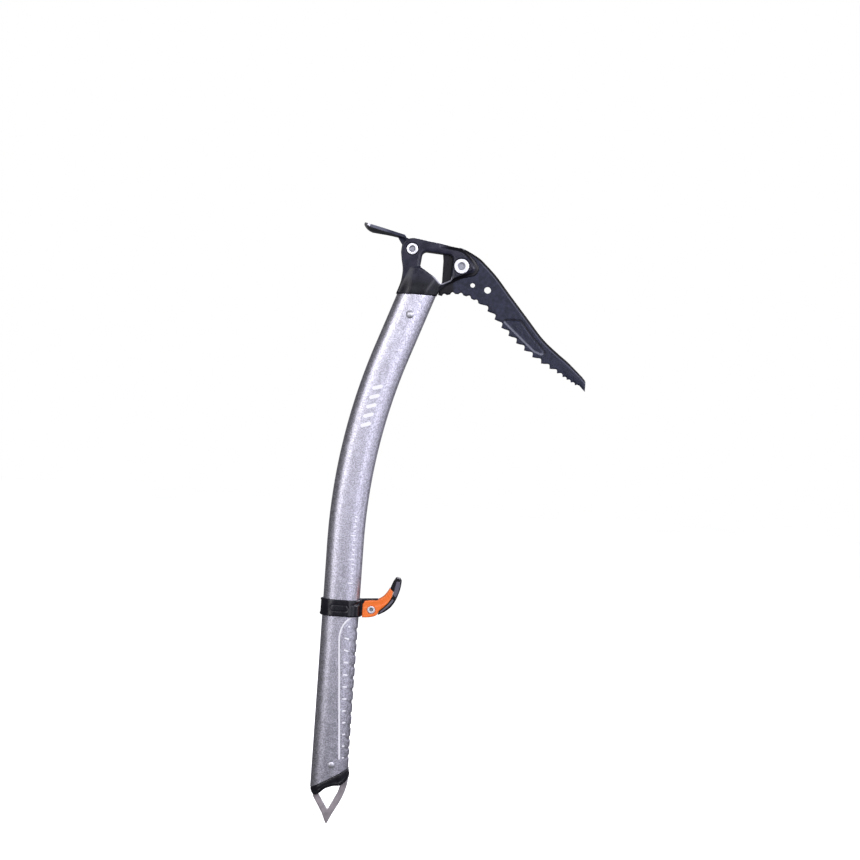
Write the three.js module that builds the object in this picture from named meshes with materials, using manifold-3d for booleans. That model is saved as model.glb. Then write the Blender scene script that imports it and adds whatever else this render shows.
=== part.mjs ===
// A technical mountaineering ice axe, 52 cm long, with an adze and a sliding hand rest.
// Millimetres. +Z runs up the straight lower shaft, +X points the way the pick points, and the
// origin is the point of the spike, on the axis of the lower shaft. The axe is symmetric about y = 0.
import * as THREE from "three";
import { mergeVertices } from "three/addons/utils/BufferGeometryUtils.js";
import Module from "manifold-3d";

const wasm = await Module();
wasm.setup();

// ---------- driving dimensions ----------
const FIT = 0.3; // gap left between pieces that touch on the real axe

const SHAFT_HALF_WIDTH = 16.2; // along X
const SHAFT_HALF_THICKNESS = 10.5; // along Y, the flat sides
const SHAFT_WALL = 1.8;
const BEND_START_Z = 247.5; // the shaft is straight below this height
const BEND_RADIUS = 520;
const BEND_ANGLE = THREE.MathUtils.degToRad(19.3);
const SHAFT_TOP_Z = 471; // the tube is cut level here, under the head
const FOOT_CUT_Z = 41; // height of the slanted foot cut on the shaft's axis
const FOOT_CUT_ANGLE = THREE.MathUtils.degToRad(30.3);

const GROOVE_COUNT = 12; // grip grooves pressed into the front of the lower shaft
const GROOVE_TOP_Z = 175.6;
const GROOVE_PITCH = 10.6;
const GROOVE_TUBE = 1.5;
const GROOVE_DEPTH = 0.7;
const GROOVE_TILT = 0.22; // radians, rising to the front
const GROOVE_END_X = 8.5; // where a groove runs out on the shaft's side

const HEAD_HALF_THICKNESS = 7;
const NECK_TOP_Z = 492; // the neck has thinned to the head's thickness here
const PLUG_LENGTH = 42;
const HEAD_RIVET = { x: 43, z: 453, shank: 2.7, dome: 3.8, height: 1.7 };

const PICK_THICKNESS = 4;
const PICK_TIP_THICKNESS = 3.2;
const PICK_PAD_RISE = 0.6; // how far the forged pad stands up from each side
const PICK_BOLT = { x: 85.3, z: 498.6, shank: 4, head: 6.5, headHeight: 2.2, key: 5 };
const PICK_HOLES = [
  { x: 96.3, z: 483.1, r: 2.1 },
  { x: 109.8, z: 479.7, r: 3.1 },
];
const TOOTH_PITCHES = [...Array(5).fill(7.4), ...Array(8).fill(9.5), 8.9, 7.7, 5.9, 4.3, 4.3, 4.5];

const ADZE_BOLT = { x: 41, z: 511, shank: 3, head: 5, headHeight: 2, key: 4 };
const ADZE_TAB_THICKNESS = 4;
const ADZE_HALF_WIDTH = 21.5;
const ADZE_LENGTH = 38;
const ADZE_THICKNESS = 2.6;
const ADZE_CROWN = 1.6; // how far the middle of the blade stands above its sides
const ADZE_SLOPE = THREE.MathUtils.degToRad(13);
const ADZE_TIP = { x: -2.5, z: 531.4 }; // crown of the blade at its cutting edge

const SPIKE_THICKNESS = 3;
const SPIKE_RIVET = { x: 1.5, z: 53.6, shank: 2, dome: 3.2, height: 0.9 };

const REST_Z = 191.6; // height of the hand rest's screw
const COLLAR_HALF_HEIGHT = 7.4;
const COLLAR_WALL = 1.9;
const COLLAR_CLEARANCE = 0.35;
const SCREW_X = 27; // the lever's screw, ahead of the shaft's axis
const SCREW = { shank: 2, head: 3.6, headHeight: 1.4, key: 2.5 };
const LUG_INNER_Y = 2.3;
const LUG_OUTER_Y = 4.6;
const LEVER_HALF_WIDTH = 6.9;
const CAM_RADIUS = 9; // the lever's nose, which presses the brake shoe

// ---------- solids ----------
// A closed three.js geometry as a manifold solid, optionally placed by a matrix.
function solid(geometry, matrix) {
  const bare = geometry.index ? geometry.toNonIndexed() : geometry.clone();
  bare.deleteAttribute("normal");
  bare.deleteAttribute("uv");
  if (matrix) bare.applyMatrix4(matrix);
  const merged = mergeVertices(bare, 1e-4);
  return new wasm.Manifold(
    new wasm.Mesh({
      numProp: 3,
      vertProperties: new Float32Array(merged.attributes.position.array),
      triVerts: new Uint32Array(merged.index.array),
    }),
  );
}

// A manifold solid as a geometry for a mesh.
function geometryOf(manifold) {
  const m = manifold.getMesh();
  const positions = new Float32Array(m.numVert * 3);
  for (let i = 0; i < m.numVert; i++) {
    positions.set(m.vertProperties.subarray(i * m.numProp, i * m.numProp + 3), i * 3);
  }
  const geometry = new THREE.BufferGeometry();
  geometry.setAttribute("position", new THREE.BufferAttribute(positions, 3));
  geometry.setIndex(new THREE.BufferAttribute(new Uint32Array(m.triVerts), 1));
  geometry.computeVertexNormals();
  return geometry;
}

// A plate whose outline is drawn in X and Z, from yLow to yHigh.
function plate(shape, yLow, yHigh, curveSegments = 8) {
  const depth = yHigh - yLow;
  const geometry = new THREE.ExtrudeGeometry(shape, { depth, bevelEnabled: false, curveSegments });
  geometry.rotateX(Math.PI / 2);
  geometry.translate(0, yHigh, 0);
  return solid(geometry);
}

function box(xLow, xHigh, yLow, yHigh, zLow, zHigh) {
  const geometry = new THREE.BoxGeometry(xHigh - xLow, yHigh - yLow, zHigh - zLow);
  geometry.translate((xLow + xHigh) / 2, (yLow + yHigh) / 2, (zLow + zHigh) / 2);
  return solid(geometry);
}

// A cylinder along Y.
function pin(x, z, radius, yLow, yHigh, sides = 20) {
  const geometry = new THREE.CylinderGeometry(radius, radius, yHigh - yLow, sides);
  geometry.translate(x, (yLow + yHigh) / 2, z);
  return solid(geometry);
}

// The shaft's cross-section: two flat sides joined by half circles. Half sizes along each axis.
function stadium(halfWidth, halfThickness) {
  const shape = new THREE.Shape();
  const flat = halfWidth - halfThickness;
  shape.absarc(flat, 0, halfThickness, -Math.PI / 2, Math.PI / 2, false);
  shape.absarc(-flat, 0, halfThickness, Math.PI / 2, (3 * Math.PI) / 2, false);
  return shape;
}

// The same section with its long side along the shape's y, which a path extrusion turns to X.
function stadiumOnPath(halfWidth, halfThickness) {
  const shape = new THREE.Shape();
  const flat = halfWidth - halfThickness;
  shape.absarc(0, flat, halfThickness, 0, Math.PI, false);
  shape.absarc(0, -flat, halfThickness, Math.PI, 2 * Math.PI, false);
  return shape;
}

// ---------- the shaft's axis ----------
const BEND_STEPS = 14;
const BEND_END = {
  x: BEND_RADIUS * (1 - Math.cos(BEND_ANGLE)),
  z: BEND_START_Z + BEND_RADIUS * Math.sin(BEND_ANGLE),
};

// Straight, then a bend towards the pick, then straight again, from one height to a distance along.
class ShaftAxis extends THREE.Curve {
  constructor(lowZ, upperLength) {
    super();
    this.lowZ = lowZ;
    this.upperLength = upperLength;
    this.steps = BEND_STEPS + 2;
  }
  // Step 0 to 1 is the lower straight, the last step the upper one, and the bend lies between.
  getPoint(t, target = new THREE.Vector3()) {
    const step = t * this.steps;
    if (step <= 1) return target.set(0, 0, this.lowZ + step * (BEND_START_Z - this.lowZ));
    const turned = Math.min((step - 1) / BEND_STEPS, 1) * BEND_ANGLE;
    const beyond = Math.max(step - 1 - BEND_STEPS, 0) * this.upperLength;
    return target.set(
      BEND_RADIUS * (1 - Math.cos(turned)) + beyond * Math.sin(BEND_ANGLE),
      0,
      BEND_START_Z + BEND_RADIUS * Math.sin(turned) + beyond * Math.cos(BEND_ANGLE),
    );
  }
  getPointAt(u, target) {
    return this.getPoint(u, target);
  }
  getTangentAt(u, target = new THREE.Vector3()) {
    const turned = Math.min(Math.max((u * this.steps - 1) / BEND_STEPS, 0), 1) * BEND_ANGLE;
    return target.set(Math.sin(turned), 0, Math.cos(turned));
  }
}

// Carries a solid drawn on +Z from z = 0 to the upper shaft's axis, with z = 0 at the given height.
function upperShaftMatrix(height) {
  const x = BEND_END.x + (height - BEND_END.z) * Math.tan(BEND_ANGLE);
  return new THREE.Matrix4().makeRotationY(BEND_ANGLE).setPosition(x, 0, height);
}

// ---------- shaft ----------
function sweptShaft(halfWidth, halfThickness, lowZ, upperLength) {
  const path = new ShaftAxis(lowZ, upperLength);
  return solid(
    new THREE.ExtrudeGeometry(stadiumOnPath(halfWidth, halfThickness), {
      extrudePath: path,
      steps: path.steps,
      curveSegments: 6,
      bevelEnabled: false,
    }),
  );
}

// Everything below the slanted foot cut, moved up or down along the shaft.
function belowFootCut(offset = 0) {
  const slab = new THREE.BoxGeometry(120, 60, 60);
  slab.translate(0, 0, -30);
  slab.rotateY(-FOOT_CUT_ANGLE);
  slab.translate(0, 0, FOOT_CUT_Z + offset);
  return solid(slab);
}

// A ring that presses one groove into the rounded front of the shaft.
function grooveCutter(z) {
  const ringRadius = SHAFT_HALF_THICKNESS + GROOVE_TUBE - GROOVE_DEPTH;
  const ring = new THREE.TorusGeometry(ringRadius, GROOVE_TUBE, 5, 22);
  ring.rotateY(-GROOVE_TILT);
  ring.translate(SHAFT_HALF_WIDTH - SHAFT_HALF_THICKNESS, 0, z);
  return solid(ring).intersect(box(GROOVE_END_X, 30, -20, 20, z - 8, z + 8));
}

function shaftSolid() {
  const upperLength = (SHAFT_TOP_Z - BEND_END.z) / Math.cos(BEND_ANGLE) + 8;
  let tube = sweptShaft(SHAFT_HALF_WIDTH, SHAFT_HALF_THICKNESS, 20, upperLength).subtract(
    sweptShaft(
      SHAFT_HALF_WIDTH - SHAFT_WALL,
      SHAFT_HALF_THICKNESS - SHAFT_WALL,
      10,
      upperLength + 10,
    ),
  );
  tube = tube.subtract(belowFootCut());
  tube = tube.subtract(box(-20, 120, -30, 30, SHAFT_TOP_Z, SHAFT_TOP_Z + 60));
  for (let i = 0; i < GROOVE_COUNT; i++) {
    tube = tube.subtract(grooveCutter(GROOVE_TOP_Z - i * GROOVE_PITCH));
  }
  for (const rivet of [HEAD_RIVET, SPIKE_RIVET]) {
    tube = tube.subtract(pin(rivet.x, rivet.z, rivet.shank + FIT, -20, 20));
  }
  return tube;
}

// ---------- head ----------
// The side view of the forged head: neck, front cheeks round the pick bolt, top bar and rear boss.
function headOutline() {
  const s = new THREE.Shape();
  s.moveTo(64.2, SHAFT_TOP_Z + FIT);
  s.quadraticCurveTo(70.5, 480, 84, 486.8);
  s.quadraticCurveTo(90, 489.3, 96, 490.5);
  s.quadraticCurveTo(102.4, 492.8, 100.7, 499.1);
  s.quadraticCurveTo(97, 506.3, 88.5, 512.7);
  s.quadraticCurveTo(85.5, 514.8, 82, 515);
  s.quadraticCurveTo(64, 517.8, 47, 519.2);
  s.absarc(ADZE_BOLT.x, ADZE_BOLT.z, 9.6, 1.05, Math.PI, false);
  s.quadraticCurveTo(32.6, 500, 34.4, 492);
  s.quadraticCurveTo(33.4, 482, 30, SHAFT_TOP_Z + FIT);
  return s;
}

// The opening through the head, which takes a carabiner.
function windowOutline() {
  const s = new THREE.Shape();
  s.moveTo(66, 486);
  s.quadraticCurveTo(71.8, 482.2, 75.3, 486.3);
  s.lineTo(77.5, 503);
  s.quadraticCurveTo(77.9, 508.2, 73.4, 508.6);
  s.lineTo(55.2, 509.6);
  s.quadraticCurveTo(50.6, 509.7, 49.9, 505.6);
  s.lineTo(49, 499.6);
  s.quadraticCurveTo(48.8, 496.6, 51.6, 494.8);
  return s;
}

// The adze's mounting tab, seen from the side; grow widens it for the slot that holds it.
function adzeTabOutline(grow = 0) {
  const s = new THREE.Shape();
  s.absarc(ADZE_BOLT.x, ADZE_BOLT.z, 7.6 + grow, -2.3, 0.9, false);
  s.lineTo(38.5, 519.6 + grow);
  s.lineTo(29.5, 523.2 + grow);
  s.lineTo(28, 519.4 - grow);
  s.quadraticCurveTo(31.4, 514, 33.2 - grow, 507);
  return s;
}

// Narrows the neck from the shaft's thickness to the head's, seen along X.
function neckTaper() {
  const s = new THREE.Shape();
  const low = SHAFT_TOP_Z + FIT;
  s.moveTo(-SHAFT_HALF_THICKNESS, low);
  s.lineTo(SHAFT_HALF_THICKNESS, low);
  s.quadraticCurveTo(SHAFT_HALF_THICKNESS, 482, HEAD_HALF_THICKNESS, NECK_TOP_Z);
  s.lineTo(-HEAD_HALF_THICKNESS, NECK_TOP_Z);
  s.quadraticCurveTo(-SHAFT_HALF_THICKNESS, 482, -SHAFT_HALF_THICKNESS, low);
  const geometry = new THREE.ExtrudeGeometry(s, { depth: 80, bevelEnabled: false, curveSegments: 5 });
  geometry.rotateX(Math.PI / 2);
  geometry.rotateZ(Math.PI / 2);
  geometry.translate(20, 0, 0);
  return solid(geometry);
}

function headSolid() {
  const column = solid(
    new THREE.ExtrudeGeometry(stadium(SHAFT_HALF_WIDTH, SHAFT_HALF_THICKNESS), {
      depth: 40,
      bevelEnabled: false,
      curveSegments: 7,
    }),
    upperShaftMatrix(SHAFT_TOP_Z - 8),
  );
  const plug = solid(
    new THREE.ExtrudeGeometry(
      stadium(
        SHAFT_HALF_WIDTH - SHAFT_WALL - FIT,
        SHAFT_HALF_THICKNESS - SHAFT_WALL - FIT,
      ),
      { depth: PLUG_LENGTH + 4, bevelEnabled: false, curveSegments: 7 },
    ),
    upperShaftMatrix(SHAFT_TOP_Z - PLUG_LENGTH),
  );
  const hollow = solid(
    new THREE.ExtrudeGeometry(stadium(10, 5), { depth: 34, bevelEnabled: false, curveSegments: 4 }),
    upperShaftMatrix(SHAFT_TOP_Z - PLUG_LENGTH - 6),
  );
  let head = plate(headOutline(), -HEAD_HALF_THICKNESS, HEAD_HALF_THICKNESS, 6)
    .add(column.intersect(neckTaper()))
    .add(plug)
    .subtract(hollow)
    .subtract(plate(windowOutline(), -20, 20, 6));
  const pickSlot = PICK_THICKNESS / 2 + FIT;
  const tabSlot = ADZE_TAB_THICKNESS / 2 + FIT;
  head = head
    .subtract(box(64.6, 120, -pickSlot, pickSlot, SHAFT_TOP_Z - 2, 530))
    .subtract(plate(adzeTabOutline(0.4), -tabSlot, tabSlot, 6))
    .subtract(pin(HEAD_RIVET.x, HEAD_RIVET.z, HEAD_RIVET.shank + FIT, -20, 20));
  for (const bolt of [PICK_BOLT, ADZE_BOLT]) {
    const seat = HEAD_HALF_THICKNESS - 1.4;
    head = head
      .subtract(pin(bolt.x, bolt.z, bolt.shank + FIT, -20, 20, 24))
      .subtract(pin(bolt.x, bolt.z, bolt.head + 0.6, -20, -seat, 24))
      .subtract(pin(bolt.x, bolt.z, bolt.head + 0.6, seat, 20, 24));
  }
  return head;
}

// ---------- pick ----------
// The line that the pick's teeth stand on, from the shaft to the point.
const TOOTH_LINE = new THREE.CatmullRomCurve3(
  [
    [68.4, 471.5],
    [83, 474.6],
    [97.3, 470.8],
    [110.9, 461.3],
    [131.1, 440.8],
    [154.5, 422.7],
    [176.7, 410.4],
    [193.2, 400.9],
  ].map(([x, z]) => new THREE.Vector3(x, 0, z)),
);

// Between two tips of the tooth line, the rear teeth have shallow scallops and the front teeth a
// long flank that ends in a steep face. Each pair is a share of the pitch and a share of the depth.
const REAR_TEETH = { count: 5, depth: 1.7, notch: [[0.3, 0.7], [0.5, 1], [0.7, 0.7]] };
const FRONT_TEETH = { depthOverPitch: 0.31, notch: [[0.58, 0.95], [0.76, 1]] };

function toothPoints() {
  const length = TOOTH_LINE.getLength();
  const points = [];
  let along = 0;
  TOOTH_PITCHES.forEach((pitch, i) => {
    const rear = i < REAR_TEETH.count;
    const depth = rear ? REAR_TEETH.depth : FRONT_TEETH.depthOverPitch * pitch;
    points.push(TOOTH_LINE.getPointAt(along / length));
    for (const [pitchShare, depthShare] of rear ? REAR_TEETH.notch : FRONT_TEETH.notch) {
      const share = Math.min((along + pitchShare * pitch) / length, 1);
      const base = TOOTH_LINE.getPointAt(share);
      const ahead = TOOTH_LINE.getTangentAt(share);
      const rise = depth * depthShare;
      points.push(new THREE.Vector3(base.x - ahead.z * rise, 0, base.z + ahead.x * rise));
    }
    along = Math.min(along + pitch, length);
  });
  points.push(TOOTH_LINE.getPointAt(along / length));
  return points;
}

function pickOutline() {
  const s = new THREE.Shape();
  s.moveTo(66.2, 473);
  for (const p of toothPoints()) s.lineTo(p.x, p.z);
  s.lineTo(195.9, 402.4);
  s.lineTo(201.8, 395.9);
  s.lineTo(201.9, 406.4);
  s.lineTo(174, 429.5);
  s.quadraticCurveTo(161, 440, 150, 452);
  s.lineTo(118.5, 490.6);
  s.quadraticCurveTo(102.5, 509.4, 86, 514.6);
  s.lineTo(67.2, 515.2);
  s.lineTo(69, 503);
  s.lineTo(69, 484);
  for (const hole of [...PICK_HOLES, { ...PICK_BOLT, r: PICK_BOLT.shank + FIT }]) {
    const path = new THREE.Path();
    path.absarc(hole.x, hole.z, hole.r, 0, 2 * Math.PI, true);
    s.holes.push(path);
  }
  return s;
}

// The forged pad that stiffens the middle of the pick.
function padOutline() {
  const s = new THREE.Shape();
  s.moveTo(125.9, 452.6);
  s.quadraticCurveTo(127, 454, 131, 454);
  s.quadraticCurveTo(140.5, 454.6, 143, 451.6);
  s.lineTo(163, 428.4);
  s.quadraticCurveTo(161.5, 425.2, 154.4, 428.2);
  s.lineTo(126.4, 451);
  return s;
}

// The tip end of the pick thins on both sides, seen from above along its own length.
function pickThinner() {
  const from = new THREE.Vector3(157, 0, 433);
  const to = new THREE.Vector3(204, 0, 398);
  const length = from.distanceTo(to);
  const half = PICK_THICKNESS / 2 + PICK_PAD_RISE;
  const s = new THREE.Shape();
  s.moveTo(-140, -half);
  s.lineTo(0, -half);
  s.lineTo(8, -PICK_THICKNESS / 2);
  s.lineTo(length, -PICK_TIP_THICKNESS / 2);
  s.lineTo(length, PICK_TIP_THICKNESS / 2);
  s.lineTo(8, PICK_THICKNESS / 2);
  s.lineTo(0, half);
  s.lineTo(-140, half);
  const geometry = new THREE.ExtrudeGeometry(s, { depth: 160, bevelEnabled: false });
  geometry.translate(0, 0, -80);
  const ahead = to.clone().sub(from).normalize();
  const across = new THREE.Vector3(0, 1, 0);
  const basis = new THREE.Matrix4().makeBasis(ahead, across, ahead.clone().cross(across));
  return solid(geometry, basis.setPosition(from));
}

function pickSolid() {
  const half = PICK_THICKNESS / 2;
  return plate(pickOutline(), -half, half, 6)
    .add(plate(padOutline(), -half - PICK_PAD_RISE, half + PICK_PAD_RISE, 5))
    .intersect(pickThinner());
}

// ---------- adze ----------
// The arched section of the blade, seen along it: shape x is the axe's Y, shape y the blade's up.
function adzeSection() {
  const radius = (ADZE_HALF_WIDTH ** 2 + ADZE_CROWN ** 2) / (2 * ADZE_CROWN);
  const half = Math.asin(ADZE_HALF_WIDTH / radius);
  const s = new THREE.Shape();
  s.absarc(0, -radius, radius, Math.PI / 2 - half, Math.PI / 2 + half, false);
  s.absarc(0, -radius, radius - ADZE_THICKNESS, Math.PI / 2 + half, Math.PI / 2 - half, true);
  return s;
}

// The blade seen from above: shape x is the axe's Y, shape y runs from the edge to the head.
function adzePlan() {
  const s = new THREE.Shape();
  s.moveTo(-21.2, 4.2);
  s.quadraticCurveTo(0, -4.2, 21.2, 4.2);
  s.quadraticCurveTo(16.5, 17, 10.2, 25);
  s.quadraticCurveTo(8, 30, 7, ADZE_LENGTH);
  s.lineTo(-7, ADZE_LENGTH);
  s.quadraticCurveTo(-8, 30, -10.2, 25);
  s.quadraticCurveTo(-16.5, 17, -21.2, 4.2);
  return s;
}

function adzeSolid() {
  const place = new THREE.Matrix4().makeBasis(
    new THREE.Vector3(0, 1, 0),
    new THREE.Vector3(Math.sin(ADZE_SLOPE), 0, Math.cos(ADZE_SLOPE)),
    new THREE.Vector3(Math.cos(ADZE_SLOPE), 0, -Math.sin(ADZE_SLOPE)),
  );
  place.setPosition(ADZE_TIP.x, 0, ADZE_TIP.z);
  const arch = new THREE.ExtrudeGeometry(adzeSection(), {
    depth: ADZE_LENGTH,
    bevelEnabled: false,
    curveSegments: 8,
  });
  const plan = new THREE.ExtrudeGeometry(adzePlan(), {
    depth: 20,
    bevelEnabled: false,
    curveSegments: 8,
  });
  plan.translate(0, 0, -10);
  plan.rotateX(Math.PI / 2);
  const half = ADZE_TAB_THICKNESS / 2;
  const clearOfHead = plate(headOutline(), -20, 20, 6).subtract(
    plate(adzeTabOutline(0.2), -half, half, 6),
  );
  return solid(arch, place)
    .intersect(solid(plan, place))
    .add(plate(adzeTabOutline(), -half, half, 6))
    .subtract(clearOfHead.translate([-FIT, 0, FIT]))
    .subtract(clearOfHead)
    .subtract(pin(ADZE_BOLT.x, ADZE_BOLT.z, ADZE_BOLT.shank + FIT, -20, 20, 24));
}

// ---------- fasteners, drawn along Y from the front (low Y) ----------
function lathe(points, sides = 24) {
  return solid(new THREE.LatheGeometry(points.map(([r, y]) => new THREE.Vector2(r, y)), sides));
}

// A socket-head bolt whose head sits on y = 0 and whose shank runs to +Y.
function boltSolid(bolt, length) {
  const body = lathe([
    [0, -bolt.headHeight],
    [bolt.head - 0.5, -bolt.headHeight],
    [bolt.head, 0.5 - bolt.headHeight],
    [bolt.head, 0],
    [bolt.shank, 0],
    [bolt.shank, length],
    [0, length],
  ]);
  const socketDepth = Math.min(bolt.headHeight + 1, 3);
  const socket = new THREE.CylinderGeometry(bolt.key / Math.sqrt(3), bolt.key / Math.sqrt(3), 8, 6);
  socket.translate(0, socketDepth - bolt.headHeight - 4, 0);
  return body.subtract(solid(socket));
}

// A round ring from y = 0 to y = thickness.
function ringSolid(outer, inner, thickness, sides = 24) {
  return lathe([[0, 0], [outer, 0], [outer, thickness], [0, thickness]], sides).subtract(
    pin(0, 0, inner, -1, thickness + 1, sides),
  );
}

// A rivet with a dome at each end of a shank that fills the given half width.
function rivetSolid(rivet, halfWidth) {
  const points = [[0, -halfWidth - rivet.height]];
  for (let i = 1; i <= 4; i++) {
    const a = (i / 4) * (Math.PI / 2);
    points.push([rivet.dome * Math.sin(a), -halfWidth - rivet.height * Math.cos(a)]);
  }
  points.push([rivet.shank, -halfWidth]);
  const mirrored = points.map(([r, y]) => [r, -y]).reverse();
  return lathe([...points, ...mirrored], 20);
}

// ---------- spike ----------
function spikeOutline() {
  const s = new THREE.Shape();
  s.moveTo(0, 0);
  s.lineTo(11.3, 21);
  s.quadraticCurveTo(16.2, 31, 16.8, 42);
  s.lineTo(11, 39);
  s.lineTo(9.5, 61);
  s.lineTo(-8.5, 61);
  s.lineTo(-10, 33);
  s.lineTo(-14.2, 28.5);
  s.quadraticCurveTo(-13.4, 22.6, -10.6, 18.6);
  const eye = new THREE.Path();
  eye.moveTo(-0.4, 13.2);
  eye.lineTo(-8.2, 25.4);
  eye.quadraticCurveTo(-7.2, 31, -0.5, 34.6);
  eye.quadraticCurveTo(5, 37, 10.3, 36.4);
  eye.quadraticCurveTo(7.5, 25.6, 1.2, 13.2);
  s.holes.push(eye);
  const hole = new THREE.Path();
  hole.absarc(SPIKE_RIVET.x, SPIKE_RIVET.z, SPIKE_RIVET.shank + FIT, 0, 2 * Math.PI, true);
  s.holes.push(hole);
  return s;
}

function plugOutline() {
  const s = new THREE.Shape();
  s.moveTo(-16.2, 34);
  s.quadraticCurveTo(-15.4, 29, -14.2, 27.4);
  s.lineTo(-9.2, 26.2);
  s.quadraticCurveTo(-3, 34, 4.4, 35);
  s.quadraticCurveTo(8, 35.8, 10.6, 35.7);
  s.quadraticCurveTo(15, 38.6, 17.8, 42.4);
  s.lineTo(18.2, 45.6);
  s.lineTo(16.2, 49);
  s.lineTo(16.2, 56);
  s.lineTo(-16.2, 56);
  return s;
}

function spikePlugSolid() {
  const collar = plate(plugOutline(), -SHAFT_HALF_THICKNESS, SHAFT_HALF_THICKNESS, 5)
    .intersect(
      solid(
        new THREE.ExtrudeGeometry(stadium(18.2, SHAFT_HALF_THICKNESS), {
          depth: 60,
          bevelEnabled: false,
          curveSegments: 7,
        }),
      ),
    )
    .intersect(belowFootCut(-FIT));
  const inner = solid(
    new THREE.ExtrudeGeometry(
      stadium(SHAFT_HALF_WIDTH - SHAFT_WALL - FIT, SHAFT_HALF_THICKNESS - SHAFT_WALL - FIT),
      { depth: 34, bevelEnabled: false, curveSegments: 7 },
    ),
    new THREE.Matrix4().makeTranslation(0, 0, 36),
  ).subtract(belowFootCut(-4));
  const slot = SPIKE_THICKNESS / 2 + FIT;
  return collar
    .add(inner)
    .subtract(box(-22, 22, -slot, slot, 10, 62))
    .subtract(pin(SPIKE_RIVET.x, SPIKE_RIVET.z, SPIKE_RIVET.shank + FIT, -20, 20));
}

// ---------- hand rest, drawn with z = 0 at the screw ----------
function collarLug() {
  const s = new THREE.Shape();
  s.moveTo(16.8, -5.9);
  s.lineTo(SCREW_X, -5.9);
  s.absarc(SCREW_X, 0, 5.9, -Math.PI / 2, 0, false);
  s.quadraticCurveTo(33.2, 5, 32.3, 9.3);
  s.lineTo(16.8, 8.2);
  return s;
}

function collarSolid() {
  const halfWidth = SHAFT_HALF_WIDTH + COLLAR_CLEARANCE;
  const halfThickness = SHAFT_HALF_THICKNESS + COLLAR_CLEARANCE;
  const height = 2 * COLLAR_HALF_HEIGHT;
  const options = { depth: height, bevelEnabled: false, curveSegments: 8 };
  const place = new THREE.Matrix4().makeTranslation(0, 0, -COLLAR_HALF_HEIGHT);
  const outer = stadium(halfWidth + COLLAR_WALL, halfThickness + COLLAR_WALL);
  const longer = { ...options, depth: height + 20 };
  const inside = solid(
    new THREE.ExtrudeGeometry(stadium(halfWidth, halfThickness), longer),
    new THREE.Matrix4().makeTranslation(0, 0, -COLLAR_HALF_HEIGHT - 10),
  );
  let body = solid(new THREE.ExtrudeGeometry(outer, options), place);
  for (const side of [-1, 1]) {
    const near = Math.min(side * LUG_INNER_Y, side * LUG_OUTER_Y);
    body = body.add(plate(collarLug(), near, near + LUG_OUTER_Y - LUG_INNER_Y, 6));
  }
  return body
    .subtract(inside)
    .subtract(box(15, 17.9, -4, 4, -5.2, 5.6))
    .subtract(box(15, 22, -LUG_INNER_Y, LUG_INNER_Y, -6, 5.6))
    .subtract(pin(SCREW_X, 0, SCREW.shank + FIT, -20, 20));
}

function leverOutline() {
  const s = new THREE.Shape();
  s.moveTo(18.7, -7.1);
  s.lineTo(26.5, -6.6);
  s.quadraticCurveTo(30.7, -6.1, 32.1, -4.2);
  s.quadraticCurveTo(33.2, -0.9, 39.3, 4.3);
  s.quadraticCurveTo(44.2, 8.6, 45.9, 15.8);
  s.lineTo(41.8, 18.4);
  s.quadraticCurveTo(38.4, 13.6, 33.3, 10.2);
  s.quadraticCurveTo(31.4, 8.1, 29, 7.6);
  s.quadraticCurveTo(25, 7, 22.6, 6.4);
  s.quadraticCurveTo(19.2, 4.8, 18.7, 0.5);
  return s;
}

function gripOutline() {
  const s = new THREE.Shape();
  s.moveTo(32.6, -4.2);
  s.lineTo(33.7, -4.5);
  s.quadraticCurveTo(38.6, -1.8, 42.1, 1.9);
  s.quadraticCurveTo(49.6, 10, 51.7, 20.4);
  s.quadraticCurveTo(52.6, 25.3, 51.9, 26.2);
  s.quadraticCurveTo(49.5, 28.7, 47.4, 28);
  s.quadraticCurveTo(46, 27.2, 45.3, 24.8);
  s.lineTo(42.2, 18.8);
  s.lineTo(46.3, 16.2);
  s.quadraticCurveTo(44.7, 8.3, 39.7, 3.9);
  s.quadraticCurveTo(33.8, -0.9, 32.6, -4.2);
  return s;
}

// The room that a lug needs inside the lever over the lever's whole swing.
function lugRoom(side) {
  const wide = 12.3;
  const narrow = 7.9;
  const from = THREE.MathUtils.degToRad(2);
  const to = THREE.MathUtils.degToRad(250);
  const s = new THREE.Shape();
  s.absarc(SCREW_X, 0, wide, from, to, false);
  s.absarc(SCREW_X, 0, narrow, to, from + 2 * Math.PI, false);
  const inner = LUG_INNER_Y - FIT;
  const outer = LUG_OUTER_Y + FIT;
  return side > 0 ? plate(s, inner, outer, 10) : plate(s, -outer, -inner, 10);
}

// The cam nose on the lever's middle web, a sector that swings past the brake shoe.
function camNose() {
  const s = new THREE.Shape();
  const from = THREE.MathUtils.degToRad(160);
  const to = THREE.MathUtils.degToRad(186);
  s.moveTo(SCREW_X - 5, 0);
  s.lineTo(SCREW_X + CAM_RADIUS * Math.cos(from), CAM_RADIUS * Math.sin(from));
  s.absarc(SCREW_X, 0, CAM_RADIUS, from, to, false);
  return plate(s, FIT - LUG_INNER_Y, LUG_INNER_Y - FIT, 6);
}

function leverSolid() {
  const head = SCREW.head + FIT;
  const seat = LEVER_HALF_WIDTH - 0.9;
  return plate(leverOutline(), -LEVER_HALF_WIDTH, LEVER_HALF_WIDTH, 6)
    .subtract(lugRoom(-1))
    .subtract(lugRoom(1))
    .add(camNose())
    .subtract(pin(SCREW_X, 0, SCREW.shank + FIT, -20, 20))
    .subtract(pin(SCREW_X, 0, head, -20, -seat))
    .subtract(pin(SCREW_X, 0, head, seat, 20))
    .subtract(pin(SCREW_X, 0, 4.3, -1, 3));
}

function gripSolid() {
  return plate(gripOutline(), -LEVER_HALF_WIDTH, LEVER_HALF_WIDTH, 6)
    .subtract(lugRoom(-1))
    .subtract(lugRoom(1));
}

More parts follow.
